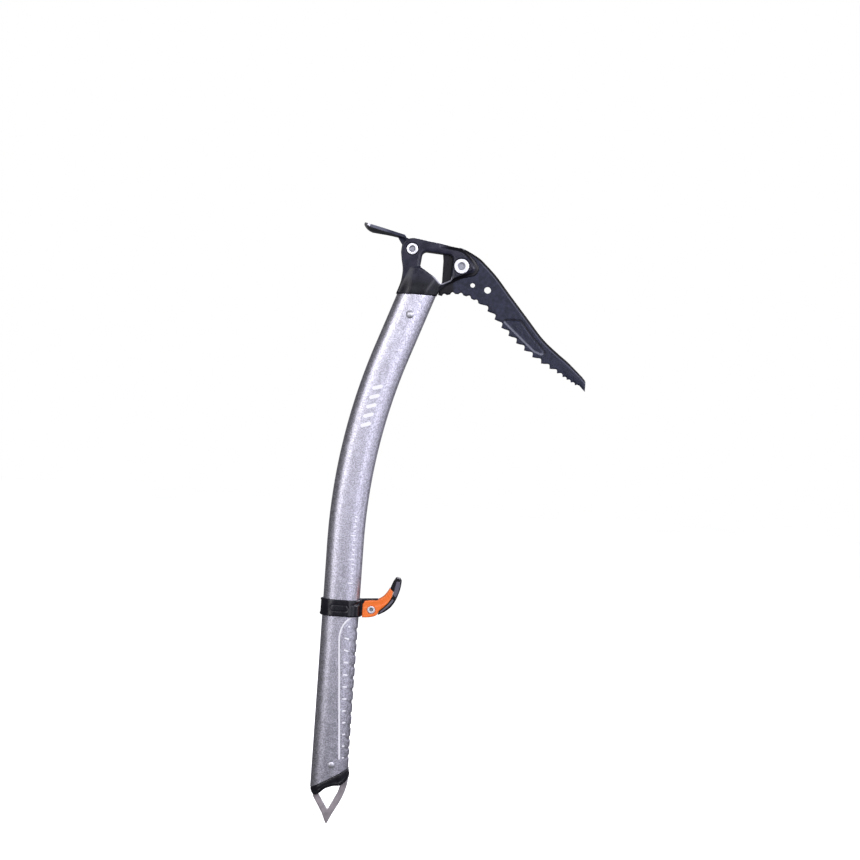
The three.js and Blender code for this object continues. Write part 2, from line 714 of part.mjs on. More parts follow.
// A torsion spring: a short coil with a straight leg at each end, wound about Y.
class SpringPath extends THREE.Curve {
  getPoint(t, target = new THREE.Vector3()) {
    const turns = 2.5;
    const radius = 3.3;
    const leg = 0.08;
    const share = Math.min(Math.max((t - leg) / (1 - 2 * leg), 0), 1);
    const angle = share * turns * 2 * Math.PI;
    const beyond = (t < leg ? t - leg : Math.max(t - 1 + leg, 0)) * 26;
    return target.set(
      radius * Math.cos(angle) - beyond * Math.sin(angle),
      (share - 0.5) * turns * 0.78,
      radius * Math.sin(angle) + beyond * Math.cos(angle),
    );
  }
}

function springSolid() {
  const wire = new THREE.Shape();
  wire.absarc(0, 0, 0.3, 0, 2 * Math.PI, false);
  return solid(
    new THREE.ExtrudeGeometry(wire, {
      extrudePath: new SpringPath(),
      steps: 44,
      curveSegments: 3,
      bevelEnabled: false,
    }),
  );
}

// ---------- materials ----------
const material = (color, metalness, roughness) =>
  new THREE.MeshStandardMaterial({ color, metalness, roughness });
const anodised = material(0xa9a9b4, 0.9, 0.4);
const forgedBlack = material(0x16171b, 0.4, 0.35);
const pickSteel = material(0x33353d, 0.6, 0.5);
const zinc = material(0xd8dae2, 1, 0.3);
const stainless = material(0x96908f, 0.9, 0.5);
const blackPlastic = material(0x15161a, 0, 0.45);
const orangePlastic = material(0xff7a2e, 0, 0.45);
const rubber = material(0x1c1d21, 0, 0.7);
const springSteel = material(0xb8bac0, 1, 0.3);

// ---------- the scene ----------
function mesh(name, manifold, look, x = 0, y = 0, z = 0) {
  const made = new THREE.Mesh(geometryOf(manifold), look);
  made.name = name;
  made.position.set(x, y, z);
  return made;
}

const axe = new THREE.Group();
axe.name = "ice_axe";

// Shaft, head, pick and adze.
axe.add(mesh("shaft", shaftSolid(), anodised));
axe.add(mesh("head_body", headSolid(), forgedBlack));
axe.add(mesh("pick", pickSolid(), pickSteel));
axe.add(mesh("adze", adzeSolid(), pickSteel));
axe.add(
  mesh(
    "head_rivet",
    rivetSolid(HEAD_RIVET, SHAFT_HALF_THICKNESS + 0.1),
    zinc,
    HEAD_RIVET.x,
    0,
    HEAD_RIVET.z,
  ),
);

// Each bolt clamps the two cheeks of the head from the front, with a washer and a nut behind.
const seatY = HEAD_HALF_THICKNESS - 1.4;
const WASHER = 0.6;
for (const [name, bolt] of [["pick_bolt", PICK_BOLT], ["adze_bolt", ADZE_BOLT]]) {
  const fastener = new THREE.Group();
  fastener.position.set(bolt.x, 0, bolt.z);
  const shank = 2 * seatY + WASHER + bolt.headHeight;
  fastener.add(mesh(name, boltSolid(bolt, shank), zinc, 0, -seatY - 0.1, 0));
  fastener.add(
    mesh(name + "_washer", ringSolid(bolt.head, bolt.shank + FIT, WASHER), zinc, 0, seatY + 0.1, 0),
  );
  const nut = ringSolid(bolt.head, bolt.shank + FIT, bolt.headHeight);
  fastener.add(mesh(name + "_nut", nut, zinc, 0, seatY + WASHER + 0.2, 0));
  axe.add(fastener);
}

// Spike, its plug in the foot of the shaft, and the rivet through both.
const half = SPIKE_THICKNESS / 2;
axe.add(mesh("spike", plate(spikeOutline(), -half, half, 6), stainless));
axe.add(mesh("spike_plug", spikePlugSolid(), blackPlastic));
axe.add(
  mesh(
    "spike_rivet",
    rivetSolid(SPIKE_RIVET, SHAFT_HALF_THICKNESS + 0.1),
    zinc,
    SPIKE_RIVET.x,
    0,
    SPIKE_RIVET.z,
  ),
);

// The hand rest: a collar that slides on the shaft, and the cam lever that locks it.
const handRest = new THREE.Group();
handRest.position.z = REST_Z;
handRest.add(mesh("rest_collar", collarSolid(), blackPlastic));
handRest.add(mesh("brake_shoe", box(-0.5, 0.5, -3.6, 3.6, -4.8, 4.8), stainless, 17.1, 0, 0.2));
const pivot = new THREE.Group();
pivot.position.x = SCREW_X;
const screwSeat = LEVER_HALF_WIDTH - 0.9;
pivot.add(
  mesh("lever_screw", boltSolid(SCREW, 2 * screwSeat + 1.5), zinc, 0, -screwSeat - 0.2, 0),
);
const screwNut = ringSolid(SCREW.head, SCREW.shank + FIT, SCREW.headHeight, 20);
pivot.add(mesh("lever_screw_nut", screwNut, zinc, 0, screwSeat + 0.2, 0));
pivot.add(mesh("lever_spring", springSolid(), springSteel, 0, 0.5, 0));
handRest.add(pivot);
handRest.add(mesh("rest_lever", leverSolid(), orangePlastic));
handRest.add(mesh("lever_grip", gripSolid(), rubber));
axe.add(handRest);

export default axe;
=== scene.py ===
import functools
import math

import bpy
import numpy as np
from mathutils import Matrix, Vector


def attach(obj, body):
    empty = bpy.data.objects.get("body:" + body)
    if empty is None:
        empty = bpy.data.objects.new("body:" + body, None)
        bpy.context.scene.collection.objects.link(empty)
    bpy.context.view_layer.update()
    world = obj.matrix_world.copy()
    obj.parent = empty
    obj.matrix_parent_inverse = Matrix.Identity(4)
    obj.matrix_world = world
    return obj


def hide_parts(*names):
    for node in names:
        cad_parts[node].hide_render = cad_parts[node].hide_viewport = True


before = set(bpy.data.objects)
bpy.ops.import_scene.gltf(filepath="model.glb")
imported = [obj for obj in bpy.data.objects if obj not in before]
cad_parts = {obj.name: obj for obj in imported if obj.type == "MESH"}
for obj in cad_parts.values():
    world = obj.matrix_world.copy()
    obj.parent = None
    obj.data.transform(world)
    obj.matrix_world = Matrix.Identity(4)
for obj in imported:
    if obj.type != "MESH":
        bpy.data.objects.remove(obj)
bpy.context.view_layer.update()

# Geometry below is in millimetres, in the part's frame: +Z up the lower shaft from the point of the
# spike, +X the way the pick points. mesh_object() turns it into metres.
MM = 0.001

# ---------- Outlines in the XZ plane ----------


def spline(points, steps=8):
    """A Catmull-Rom curve through (x, z) points."""
    p = np.array(points, float)
    p = np.vstack([2 * p[0] - p[1], p, 2 * p[-1] - p[-2]])
    t = np.arange(steps)[:, None] / steps
    out = []
    for a, b, c, d in zip(p[:-3], p[1:-2], p[2:-1], p[3:]):
        bend = (2 * a - 5 * b + 4 * c - d) * t**2
        out += list(0.5 * (2 * b + (c - a) * t + bend + (3 * b - a - 3 * c + d) * t**3))
    return [tuple(q) for q in out + [p[-2]]]


def rounded(corners, steps=6):
    """A closed outline from (x, z, radius) corners."""
    out = []
    n = len(corners)
    for i, (x, z, r) in enumerate(corners):
        here = np.array([x, z], float)
        back = np.array(corners[i - 1][:2], float) - here
        on = np.array(corners[(i + 1) % n][:2], float) - here
        if r <= 0:
            out.append((x, z))
            continue
        back_len, on_len = np.linalg.norm(back), np.linalg.norm(on)
        back, on = back / back_len, on / on_len
        half = 0.5 * math.acos(np.clip(np.dot(back, on), -1, 1))
        cut = min(r / math.tan(half), 0.49 * back_len, 0.49 * on_len)
        r = cut * math.tan(half)
        start, end = here + back * cut, here + on * cut
        centre = here + (back + on) / np.linalg.norm(back + on) * r / math.sin(half)
        a, b = start - centre, end - centre
        angle = math.acos(np.clip(np.dot(a, b) / (r * r), -1, 1))
        for k in range(steps + 1):
            t = k / steps
            if angle < 1e-4:
                q = a + (b - a) * t
            else:
                q = (a * math.sin((1 - t) * angle) + b * math.sin(t * angle)) / math.sin(angle)
            out.append(tuple(centre + q))
    return out


class Outline:
    """Signed distance to a closed outline, negative inside, looked up on a fine grid."""

    def __init__(self, points, margin=6.0, cell=0.2):
        p = np.array(points, float)
        keep = np.linalg.norm(p - np.roll(p, 1, 0), axis=1) > 1e-6
        p = p[keep]
        self.low = p.min(0) - margin
        self.cell = cell
        self.shape = tuple(np.ceil((p.max(0) + margin - self.low) / cell).astype(int) + 1)
        gx = (self.low[0] + np.arange(self.shape[0]) * cell)[:, None]
        gz = (self.low[1] + np.arange(self.shape[1]) * cell)[None, :]
        nearest = np.full(self.shape, 1e12)
        inside = np.zeros(self.shape, bool)
        for (ax, az), (bx, bz) in zip(p, np.roll(p, -1, 0)):
            ex, ez = bx - ax, bz - az
            t = np.clip(((gx - ax) * ex + (gz - az) * ez) / (ex * ex + ez * ez), 0, 1)
            np.minimum(nearest, (gx - ax - t * ex) ** 2 + (gz - az - t * ez) ** 2, out=nearest)
            if az != bz:
                crosses = (gz >= min(az, bz)) & (gz < max(az, bz))
                inside ^= crosses & (gx < ax + (gz - az) * ex / ez)
        distance = np.sqrt(nearest)
        self.grid = np.where(inside, -distance, distance)

    def __call__(self, x, z):
        u = np.clip((x - self.low[0]) / self.cell, 0, self.shape[0] - 1.001)
        v = np.clip((z - self.low[1]) / self.cell, 0, self.shape[1] - 1.001)
        i, j = np.floor(u).astype(int), np.floor(v).astype(int)
        s, t = u - i, v - j
        g = self.grid
        low = g[i, j] * (1 - s) + g[i + 1, j] * s
        high = g[i, j + 1] * (1 - s) + g[i + 1, j + 1] * s
        return low * (1 - t) + high * t


# ---------- Implicit surfaces: negative inside, about a distance near the surface ----------


def cut(a, b, r=0.3):
    """Where both fields are negative, with an edge rounded to radius r."""
    return np.minimum(np.maximum(a, b), -r) + np.hypot(np.maximum(a + r, 0), np.maximum(b + r, 0))


def join(a, b, r=1.0):
    """Where either field is negative, with a fillet of radius r in the corner between them."""
    return np.maximum(np.minimum(a, b), r) - np.hypot(np.maximum(r - a, 0), np.maximum(r - b, 0))


def overlap(*fields):
    """Where all fields are negative, with sharp edges."""
    return functools.reduce(np.maximum, fields)


def remove(f, *tools):
    """The solid f without the tools, with sharp edges."""
    return overlap(f, *(-tool for tool in tools))


def ridge(v, width, peak=1.0):
    """The peak where v is 0, falling evenly to 0 on both sides, and never above 1."""
    return np.clip(peak - np.abs(v) / width, 0, 1)


def smoothstep(low, high, v):
    """0 at low and 1 at high, with an even start and end; low may be the larger."""
    t = np.clip((v - low) / (high - low), 0, 1)
    return t * t * (3 - 2 * t)


def stadium(u, y, half_width, half_thickness):
    """Distance to a section with flat sides at y = +-half_thickness and round ends."""
    flat = half_width - half_thickness
    return np.hypot(np.maximum(np.abs(u) - flat, 0), y) - half_thickness


def pin(x, z, cx, cz, r):
    """Distance to a cylinder along Y."""
    return np.hypot(x - cx, z - cz) - r


def nets(field, low, high, step, relax=2):
    """Quad mesh of field(x, y, z) = 0 by surface nets, with its vertices moved onto the surface."""
    step = np.array(step if np.ndim(step) else [step] * 3, float)
    low = np.array(low, float) - 2 * step
    counts = np.ceil((np.array(high, float) + 2 * step - low) / step).astype(int) + 1
    ax = [low[k] + np.arange(counts[k]) * step[k] for k in range(3)]
    f = field(ax[0][:, None, None], ax[1][None, :, None], ax[2][None, None, :])
    f = np.broadcast_to(f, counts).astype(np.float32)
    inside = f < 0
    corner_sum = np.zeros(counts - 1, np.int8)
    corners = [(i, j, k) for i in (0, 1) for j in (0, 1) for k in (0, 1)]

    def at(a, offset):
        i, j, k = offset
        return a[i : i + counts[0] - 1, j : j + counts[1] - 1, k : k + counts[2] - 1]

    for c in corners:
        corner_sum += at(inside, c)
    cells = (corner_sum > 0) & (corner_sum < 8)
    number = np.full(cells.shape, -1, np.int64)
    number[cells] = np.arange(cells.sum())
    ijk = np.argwhere(cells)
    total = np.zeros((len(ijk), 3))
    count = np.zeros(len(ijk))
    for a in corners:
        for axis in range(3):
            if a[axis]:
                continue
            b = list(a)
            b[axis] = 1
            fa = f[tuple((ijk + a).T)]
            fb = f[tuple((ijk + b).T)]
            m = (fa < 0) != (fb < 0)
            t = fa[m] / (fa[m] - fb[m])
            spot = np.tile(np.array(a, float), (m.sum(), 1))
            spot[:, axis] += t
            total[m] += spot
            count[m] += 1
    v = low + (ijk + total / count[:, None]) * step
    quads = []
    for axis in range(3):
        e, g = [(1, 2), (2, 0), (0, 1)][axis]
        first = [slice(None)] * 3
        second = [slice(None)] * 3
        first[axis], second[axis] = slice(0, -1), slice(1, None)
        for k in (e, g):
            first[k] = second[k] = slice(1, -1)
        s0, s1 = inside[tuple(first)], inside[tuple(second)]
        where = np.argwhere(s0 != s1)
        where[:, e] += 1
        where[:, g] += 1
        out = s0[s0 != s1]
        de, dg = np.eye(3, dtype=int)[e], np.eye(3, dtype=int)[g]
        ids = [number[tuple((where - o).T)] for o in (de + dg, dg, 0 * dg, de)]
        q = np.stack(ids, 1)
        q[~out] = q[~out][:, ::-1]
        quads.append(q)
    quads = np.vstack(quads)

    def slope(p):
        h = 0.02
        at_p = field(*p.T)
        d = np.empty_like(p)
        for k in range(3):
            q = p.copy()
            q[:, k] += h
            d[:, k] = (field(*q.T) - at_p) / h
        return at_p, d

    def settle(p, limit):
        value, d = slope(p)
        move = -d * (value / np.maximum((d**2).sum(1), 0.2))[:, None]
        size = np.linalg.norm(move, axis=1)
        move *= np.minimum(1, limit / np.maximum(size, 1e-9))[:, None]
        return p + move

    small = float(step.min())
    v = settle(v, 0.5 * small)
    ends = np.vstack([quads[:, [k, (k + 1) % 4]] for k in range(4)])
    degree = np.bincount(ends[:, 0], minlength=len(v)) + np.bincount(
        ends[:, 1], minlength=len(v)
    )
    for _ in range(relax):
        mean = np.zeros_like(v)
        for k in range(3):
            mean[:, k] = np.bincount(ends[:, 0], v[ends[:, 1], k], len(v)) + np.bincount(
                ends[:, 1], v[ends[:, 0], k], len(v)
            )
        v = settle(v + 0.5 * (mean / degree[:, None] - v), 0.5 * small)
    v = settle(v, 0.5 * small)
    return v, quads


def mesh_object(name, v, faces, smooth=True):
    """A mesh object from vertices in mm and a face array of one width, or a list of faces."""
    mesh = bpy.data.meshes.new(name)
    if isinstance(faces, np.ndarray):
        mesh.vertices.add(len(v))
        mesh.vertices.foreach_set("co", (np.asarray(v, float) * MM).astype(np.float32).ravel())
        width = faces.shape[1]
        mesh.loops.add(faces.size)
        mesh.loops.foreach_set("vertex_index", faces.astype(np.int32).ravel())
        mesh.polygons.add(len(faces))
        mesh.polygons.foreach_set("loop_start", np.arange(0, faces.size, width, dtype=np.int32))
        mesh.polygons.foreach_set("loop_total", np.full(len(faces), width, np.int32))
        mesh.update(calc_edges=True)
        mesh.validate()
    else:
        mesh.from_pydata([tuple(c * MM for c in p) for p in v], [], faces)
        mesh.update()
    if smooth:
        mesh.shade_smooth()
    made = bpy.data.objects.new(name, mesh)
    bpy.context.scene.collection.objects.link(made)
    return made


def vertices(made):
    """An object's vertices in metres, in single precision as Blender keeps them."""
    co = np.empty(len(made.data.vertices) * 3, np.float32)
    made.data.vertices.foreach_get("co", co)
    return co.reshape(-1, 3)


def store(made, name, values):
    layer = made.data.attributes.new(name, "FLOAT", "POINT")
    layer.data.foreach_set("value", values.astype(np.float32))


def edge_attribute(made, field, reach=0.6):
    """Stores how convex the surface is, from the field's bend, for paler worn edges and darker
    hollows in materials.
    """
    p = vertices(made).astype(float) / MM
    around = 0
    for k in range(3):
        for side in (-reach, reach):
            q = p.copy()
            q[:, k] += side
            around = around + field(*q.T)
    bend = (around / 6 - field(*p.T)) / reach
    store(made, "edge", np.clip(0.5 + 2.2 * bend, 0, 1))


def solid_piece(name, field, low, high, step, body, nodes, look, relax=2):
    """A piece from a field, riding on a body and standing for CAD nodes."""
    v, quads = nets(field, low, high, step, relax)
    made = mesh_object(name, v, quads)
    edge_attribute(made, field)
    made.data.materials.append(look)
    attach(made, body)
    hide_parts(*nodes)
    return made


def tint(made, amount):
    """Stores amount(x, y, z) at each vertex: above 0 for paler spots, below 0 for darker ones."""
    store(made, "tint", amount(*(vertices(made) / MM).T))


def repaint(made, look, chosen):
    """Gives the quads whose centres are chosen(x, y, z) another material."""
    corners = np.empty(len(made.data.loops), np.int32)
    made.data.loops.foreach_get("vertex_index", corners)
    centre = (vertices(made) / MM)[corners].reshape(-1, 4, 3).mean(1)
    made.data.materials.append(look)
    made.data.polygons.foreach_set("material_index", chosen(*centre.T).astype(np.int32))


# ---------- Materials ----------


class Nodes:
    """Short calls for building one material's nodes."""

    def __init__(self, name):
        self.material = bpy.data.materials.new(name)
        self.material.use_nodes = True
        self.tree = self.material.node_tree
        self.shader = self.tree.nodes["Principled BSDF"]
        self.place = self.tree.nodes.new("ShaderNodeTexCoord").outputs["Object"]

    def add(self, kind, inputs=(), **settings):
        node = self.tree.nodes.new(kind)
        for key, value in settings.items():
            setattr(node, key, value)
        for key, value in dict(inputs).items():
            self.put(node.inputs[key], value)
        return node

    def put(self, socket, value):
        if isinstance(value, bpy.types.NodeSocket):
            self.tree.links.new(value, socket)
        else:
            socket.default_value = value

    def noise(self, size_mm, detail=2.0, roughness=0.5, stretch=(1, 1, 1)):
        """Noise whose features are about size_mm across."""
        place = self.place
        if stretch != (1, 1, 1):
            place = self.add(
                "ShaderNodeMapping", {"Vector": self.place, "Scale": stretch}
            ).outputs["Vector"]
        look = {"Scale": 1 / (size_mm * MM), "Detail": detail, "Roughness": roughness}
        return self.add("ShaderNodeTexNoise", {"Vector": place, **look}).outputs["Fac"]

    def speckles(self, size_mm, spread=0.25):
        """Small round dots, 1 inside and 0 between them."""
        cell = self.add(
            "ShaderNodeTexVoronoi", {"Vector": self.place, "Scale": 1 / (size_mm * MM)}
        )
        return self.ramp(cell.outputs["Distance"], spread * 0.5, spread, 1, 0)

    def ramp(self, value, low, high, at_low=0, at_high=1):
        """at_low where the value is low or less, at_high where it is high or more."""
        limits = {"From Min": low, "From Max": high, "To Min": at_low, "To Max": at_high}
        return self.add(
            "ShaderNodeMapRange", {"Value": value, **limits}, interpolation_type="SMOOTHSTEP"
        ).outputs["Result"]

    def math(self, operation, a, b=0.0):
        node = self.add("ShaderNodeMath", operation=operation)
        self.put(node.inputs[0], a)
        self.put(node.inputs[1], b)
        return node.outputs[0]

    def mix(self, factor, a, b):
        node = self.add("ShaderNodeMix", data_type="RGBA")
        self.put(node.inputs["Factor"], factor)
        for key, value in ((6, a), (7, b)):
            if isinstance(value, tuple):
                value = (*value, 1.0)
            self.put(node.inputs[key], value)
        return node.outputs[2]

    def times(self, a, b):
        return self.math("MULTIPLY", a, b)

    def blend(self, value, low, high, a, b):
        """Colour a where the value is low or less, b where it is high or more."""
        return self.mix(self.ramp(value, low, high), a, b)

    def tinted(self, colour, pale, dark):
        """Colour mixed towards pale where the tint is above 0, towards dark where it is below."""
        amount = self.add("ShaderNodeAttribute", attribute_name="tint").outputs["Fac"]
        colour = self.mix(self.math("MAXIMUM", amount, 0.0), colour, pale)
        return self.mix(self.math("MAXIMUM", self.times(amount, -1.0), 0.0), colour, dark)

    def edge(self):
        return self.add("ShaderNodeAttribute", attribute_name="edge").outputs["Fac"]

    def bump(self, height, depth_mm, strength=1.0, under=None):
        inputs = {"Height": height, "Distance": depth_mm * MM, "Strength": strength}
        if under is not None:
            inputs["Normal"] = under
        return self.add("ShaderNodeBump", inputs).outputs["Normal"]

    def finish(self, **sockets):
        for key, value in sockets.items():
            self.put(self.shader.inputs[key.replace("_", " ")], value)
        return self.material


def blasted_aluminium():
    n = Nodes("blasted_aluminium")
    grain = n.noise(1.05, 2, 0.6)
    coarse = n.noise(2.3, 2)
    tone = n.math("ADD", n.times(grain, 0.8), n.times(coarse, 0.2))
    colour = n.blend(tone, 0.36, 0.64, (0.375, 0.37, 0.43), (0.735, 0.725, 0.83))
    bump = n.bump(grain, 0.05, 0.7)
    return n.finish(
        Base_Color=colour,
        Metallic=0.93,
        Roughness=n.ramp(coarse, 0.3, 0.7, 0.37, 0.47),
        Normal=n.bump(coarse, 0.03, 0.4, bump),
    )


def black_forging():
    n = Nodes("black_forging")
    fine = n.noise(0.9, 2)
    wide = n.noise(9, 3)
    worn = n.times(n.ramp(n.edge(), 0.62, 0.95), n.ramp(fine, 0.4, 0.75, 0.1, 1))
    colour = n.blend(wide, 0.3, 0.7, (0.015, 0.0155, 0.028), (0.025, 0.0255, 0.045))
    colour = n.mix(n.times(worn, 0.2), colour, (0.07, 0.07, 0.08))
    # The tint attribute brings in the head's painted shade and painted highlight.
    colour = n.tinted(colour, (0.5, 0.5, 0.57), (0.002, 0.002, 0.0028))
    return n.finish(
        Base_Color=colour,
        Specular_IOR_Level=0.25,
        Roughness=n.ramp(wide, 0.3, 0.7, 0.26, 0.34),
        Normal=n.bump(fine, 0.012, 0.2),
    )


def slate_steel():
    n = Nodes("slate_steel")
    fine = n.noise(0.9, 2, 0.6)
    mottle = n.noise(3.2, 4, 0.6)
    dust = n.speckles(2.1, 0.24)
    colour = n.blend(mottle, 0.35, 0.68, (0.0135, 0.0155, 0.03), (0.0255, 0.0295, 0.055))
    dusty = n.times(dust, n.ramp(fine, 0.5, 0.75, 0, 0.3))
    colour = n.mix(dusty, colour, (0.2, 0.21, 0.26))
    worn = n.times(n.ramp(n.edge(), 0.66, 0.98), n.ramp(mottle, 0.4, 0.62, 0.25, 1))
    colour = n.mix(n.times(worn, 0.3), colour, (0.16, 0.165, 0.2))
    # The tint attribute brings in painted light and shade on the pick and the adze.
    colour = n.tinted(colour, (0.3, 0.31, 0.38), (0.0025, 0.002, 0.0028))
    return n.finish(
        Base_Color=colour,
        Metallic=0.1,
        Specular_IOR_Level=0.22,
        Roughness=n.ramp(mottle, 0.3, 0.7, 0.36, 0.48),
        Normal=n.bump(fine, 0.02, 0.25, n.bump(mottle, 0.04, 0.25)),
    )


def ground_steel():
    n = Nodes("ground_steel")
    lines = n.noise(0.6, 2, 0.5, (1, 0.1, 1))
    stain = n.noise(3, 2)
    return n.finish(
        Base_Color=n.blend(stain, 0.35, 0.7, (0.55, 0.55, 0.6), (0.72, 0.72, 0.77)),
        Metallic=0.9,
        Roughness=n.ramp(lines, 0.3, 0.7, 0.34, 0.46),
        Normal=n.bump(lines, 0.01, 0.3),
    )


def zinc_plate():
    n = Nodes("zinc_plate")
    fine = n.noise(0.8, 2)
    stain = n.noise(2.4, 2)
    # Darker in concave hollows, by the edge attribute.
    hollow_darkening = n.ramp(n.edge(), 0.16, 0.36, 1, 0)
    colour = n.blend(stain, 0.35, 0.7, (0.72, 0.73, 0.77), (0.84, 0.85, 0.89))
    colour = n.mix(n.times(hollow_darkening, 0.5), colour, (0.16, 0.16, 0.19))
    return n.finish(
        Base_Color=colour,
        Metallic=0.75,
        Roughness=n.ramp(stain, 0.3, 0.7, 0.36, 0.44),
        Normal=n.bump(fine, 0.006, 0.2),
    )


def plain(name, grain, dark, light, metallic, rough, relief):
    """One fine grain that varies the colour, the roughness and the relief a little."""
    n = Nodes(name)
    fine = n.noise(*grain)
    return n.finish(
        Base_Color=n.blend(fine, 0.35, 0.65, dark, light),
        Metallic=metallic,
        Roughness=n.ramp(fine, 0.3, 0.7, *rough),
        Normal=n.bump(fine, *relief),
    )


def stamped_stainless():
    n = Nodes("stamped_stainless")
    fine = n.noise(0.4, 3, 0.6)
    cloud = n.noise(6, 3)
    colour = n.blend(cloud, 0.3, 0.7, (0.36, 0.325, 0.345), (0.48, 0.435, 0.465))
    worn = n.ramp(n.edge(), 0.64, 0.95, 0, 0.35)
    return n.finish(
        Base_Color=n.mix(worn, colour, (0.55, 0.53, 0.53)),
        Metallic=0.55,
        Roughness=n.ramp(cloud, 0.3, 0.7, 0.5, 0.64),
        Normal=n.bump(fine, 0.03, 0.5),
    )


def moulded(name, dark, light, rough, grain_mm, depth_mm, worn_colour=None, shine=0.5, pale=None):
    """A moulded plastic or rubber: slight mottling, fine grain and paler worn edges."""
    n = Nodes(name)
    grain = n.noise(grain_mm, 2)
    cloud = n.noise(7, 3)
    colour = n.blend(cloud, 0.3, 0.7, dark, light)
    if worn_colour:
        worn = n.times(n.ramp(n.edge(), 0.6, 0.95), n.ramp(grain, 0.3, 0.7, 0.3, 1))
        colour = n.mix(n.times(worn, 0.4), colour, worn_colour)
    if pale:
        colour = n.tinted(colour, pale, dark)
    return n.finish(
        Base_Color=colour,
        Specular_IOR_Level=shine,
        Roughness=n.ramp(cloud, 0.3, 0.7, rough - 0.04, rough + 0.05),
        Normal=n.bump(grain, depth_mm, 0.3),
    )


ALUMINIUM = blasted_aluminium()
FORGING = black_forging()
SLATE = slate_steel()
GROUND = ground_steel()
ZINC = zinc_plate()
STAINLESS = stamped_stainless()
PRINT = plain(
    "white_print", (0.5, 3, 0.6), (0.86, 0.86, 0.92), (0.95, 0.95, 0.98), 0, (0.4, 0.55),
    (0.02, 0.4),
)
RIVET = plain(
    "satin_rivet", (0.9, 2), (0.5, 0.5, 0.55), (0.62, 0.62, 0.67), 0.9, (0.42, 0.5), (0.01, 0.25)
)
# A grey for the bolt heads' dished bowls and sockets: painted shade in the recess.
BOWL_SHADE = plain(
    "bowl_painted_shade", (0.8, 2), (0.22, 0.225, 0.26), (0.32, 0.325, 0.37), 0.6, (0.4, 0.5), (0.01, 0.2)
)
BLACK_PLASTIC = moulded(
    "black_plastic", (0.0065, 0.0068, 0.0105), (0.0115, 0.0118, 0.0175), 0.24, 0.9, 0.012,
    (0.04, 0.04, 0.05), 0.42,
)
ORANGE_PLASTIC = moulded(
    "orange_plastic", (0.9, 0.172, 0.022), (0.98, 0.212, 0.032), 0.36, 0.9, 0.012,
    (1.0, 0.36, 0.13),
)
RUBBER = moulded(
    "grip_rubber", (0.006, 0.006, 0.008), (0.012, 0.012, 0.016), 0.45, 0.9, 0.03,
    (0.03, 0.03, 0.036), 0.15, (0.16, 0.155, 0.2),
)
SPRING_WIRE = moulded("spring_wire", (0.4, 0.4, 0.42), (0.6, 0.6, 0.62), 0.3, 0.3, 0.01)
SPRING_WIRE.node_tree.nodes["Principled BSDF"].inputs["Metallic"].default_value = 1.0

# ---------- Shaft ----------
HALF_WIDTH, HALF_THICKNESS, WALL = 16.2, 10.5, 1.8
INSERT = (14.1, 8.4)  # half width and half thickness of what fits inside the tube
BEND_START, BEND_RADIUS, BEND = 247.5, 520.0, math.radians(19.3)
SHAFT_TOP = 471.0
FOOT_Z, FOOT_SLOPE = 41.0, math.tan(math.radians(30.3))
BEND_END_Z = BEND_START + BEND_RADIUS * math.sin(BEND)
AXIS_LENGTH = BEND_START + BEND_RADIUS * BEND + (SHAFT_TOP - BEND_END_Z) / math.cos(BEND)
GROOVES, GROOVE_TOP, GROOVE_PITCH, GROOVE_DEPTH = 12, 175.6, 10.62, 0.8
GROOVED_TO = 190  # height above which the tube has no grooves
MITRE_REACH = 32  # distance in which a slanted end fades into level rings


def axis_point(s):
    """Point and tilt of the shaft's axis a distance s along it from the origin."""
    if s <= BEND_START:
        return 0.0, s, 0.0
    turned = min((s - BEND_START) / BEND_RADIUS, BEND)
    beyond = max(s - BEND_START - BEND_RADIUS * BEND, 0)
    x = BEND_RADIUS * (1 - math.cos(turned)) + beyond * math.sin(turned)
    z = BEND_START + BEND_RADIUS * math.sin(turned) + beyond * math.cos(turned)
    return x, z, turned


def section_points(count, inset=0.0):
    """Evenly spaced points round the shaft's section: offset along X, then Y."""
    w, h = HALF_WIDTH - inset, HALF_THICKNESS - inset
    a = np.linspace(0, 2 * math.pi, 4001)
    u = w * np.sign(np.cos(a)) * np.abs(np.cos(a)) ** (2 / 3)
    y = h * np.sin(a)
    along = np.concatenate([[0], np.cumsum(np.hypot(np.diff(u), np.diff(y)))])
    spots = (np.arange(count) + 0.5) / count * along[-1]
    return np.stack([np.interp(spots, along, u), np.interp(spots, along, y)], 1)


def groove_depth(u, s):
    """How deep the pressed grip grooves are at offset u and height s, in mm."""
    mark = GROOVE_TOP - 0.22 * (u - 9)
    k = np.clip(np.round((mark - s - 1.8) / GROOVE_PITCH), 0, GROOVES - 1)
    below = mark - k * GROOVE_PITCH - s
    across = smoothstep(-0.35, 0.55, below) * smoothstep(4.6, 2.2, below)
    return (0.05 * smoothstep(8.0, 11.0, u) + GROOVE_DEPTH * smoothstep(12.8, 16.0, u)) * across


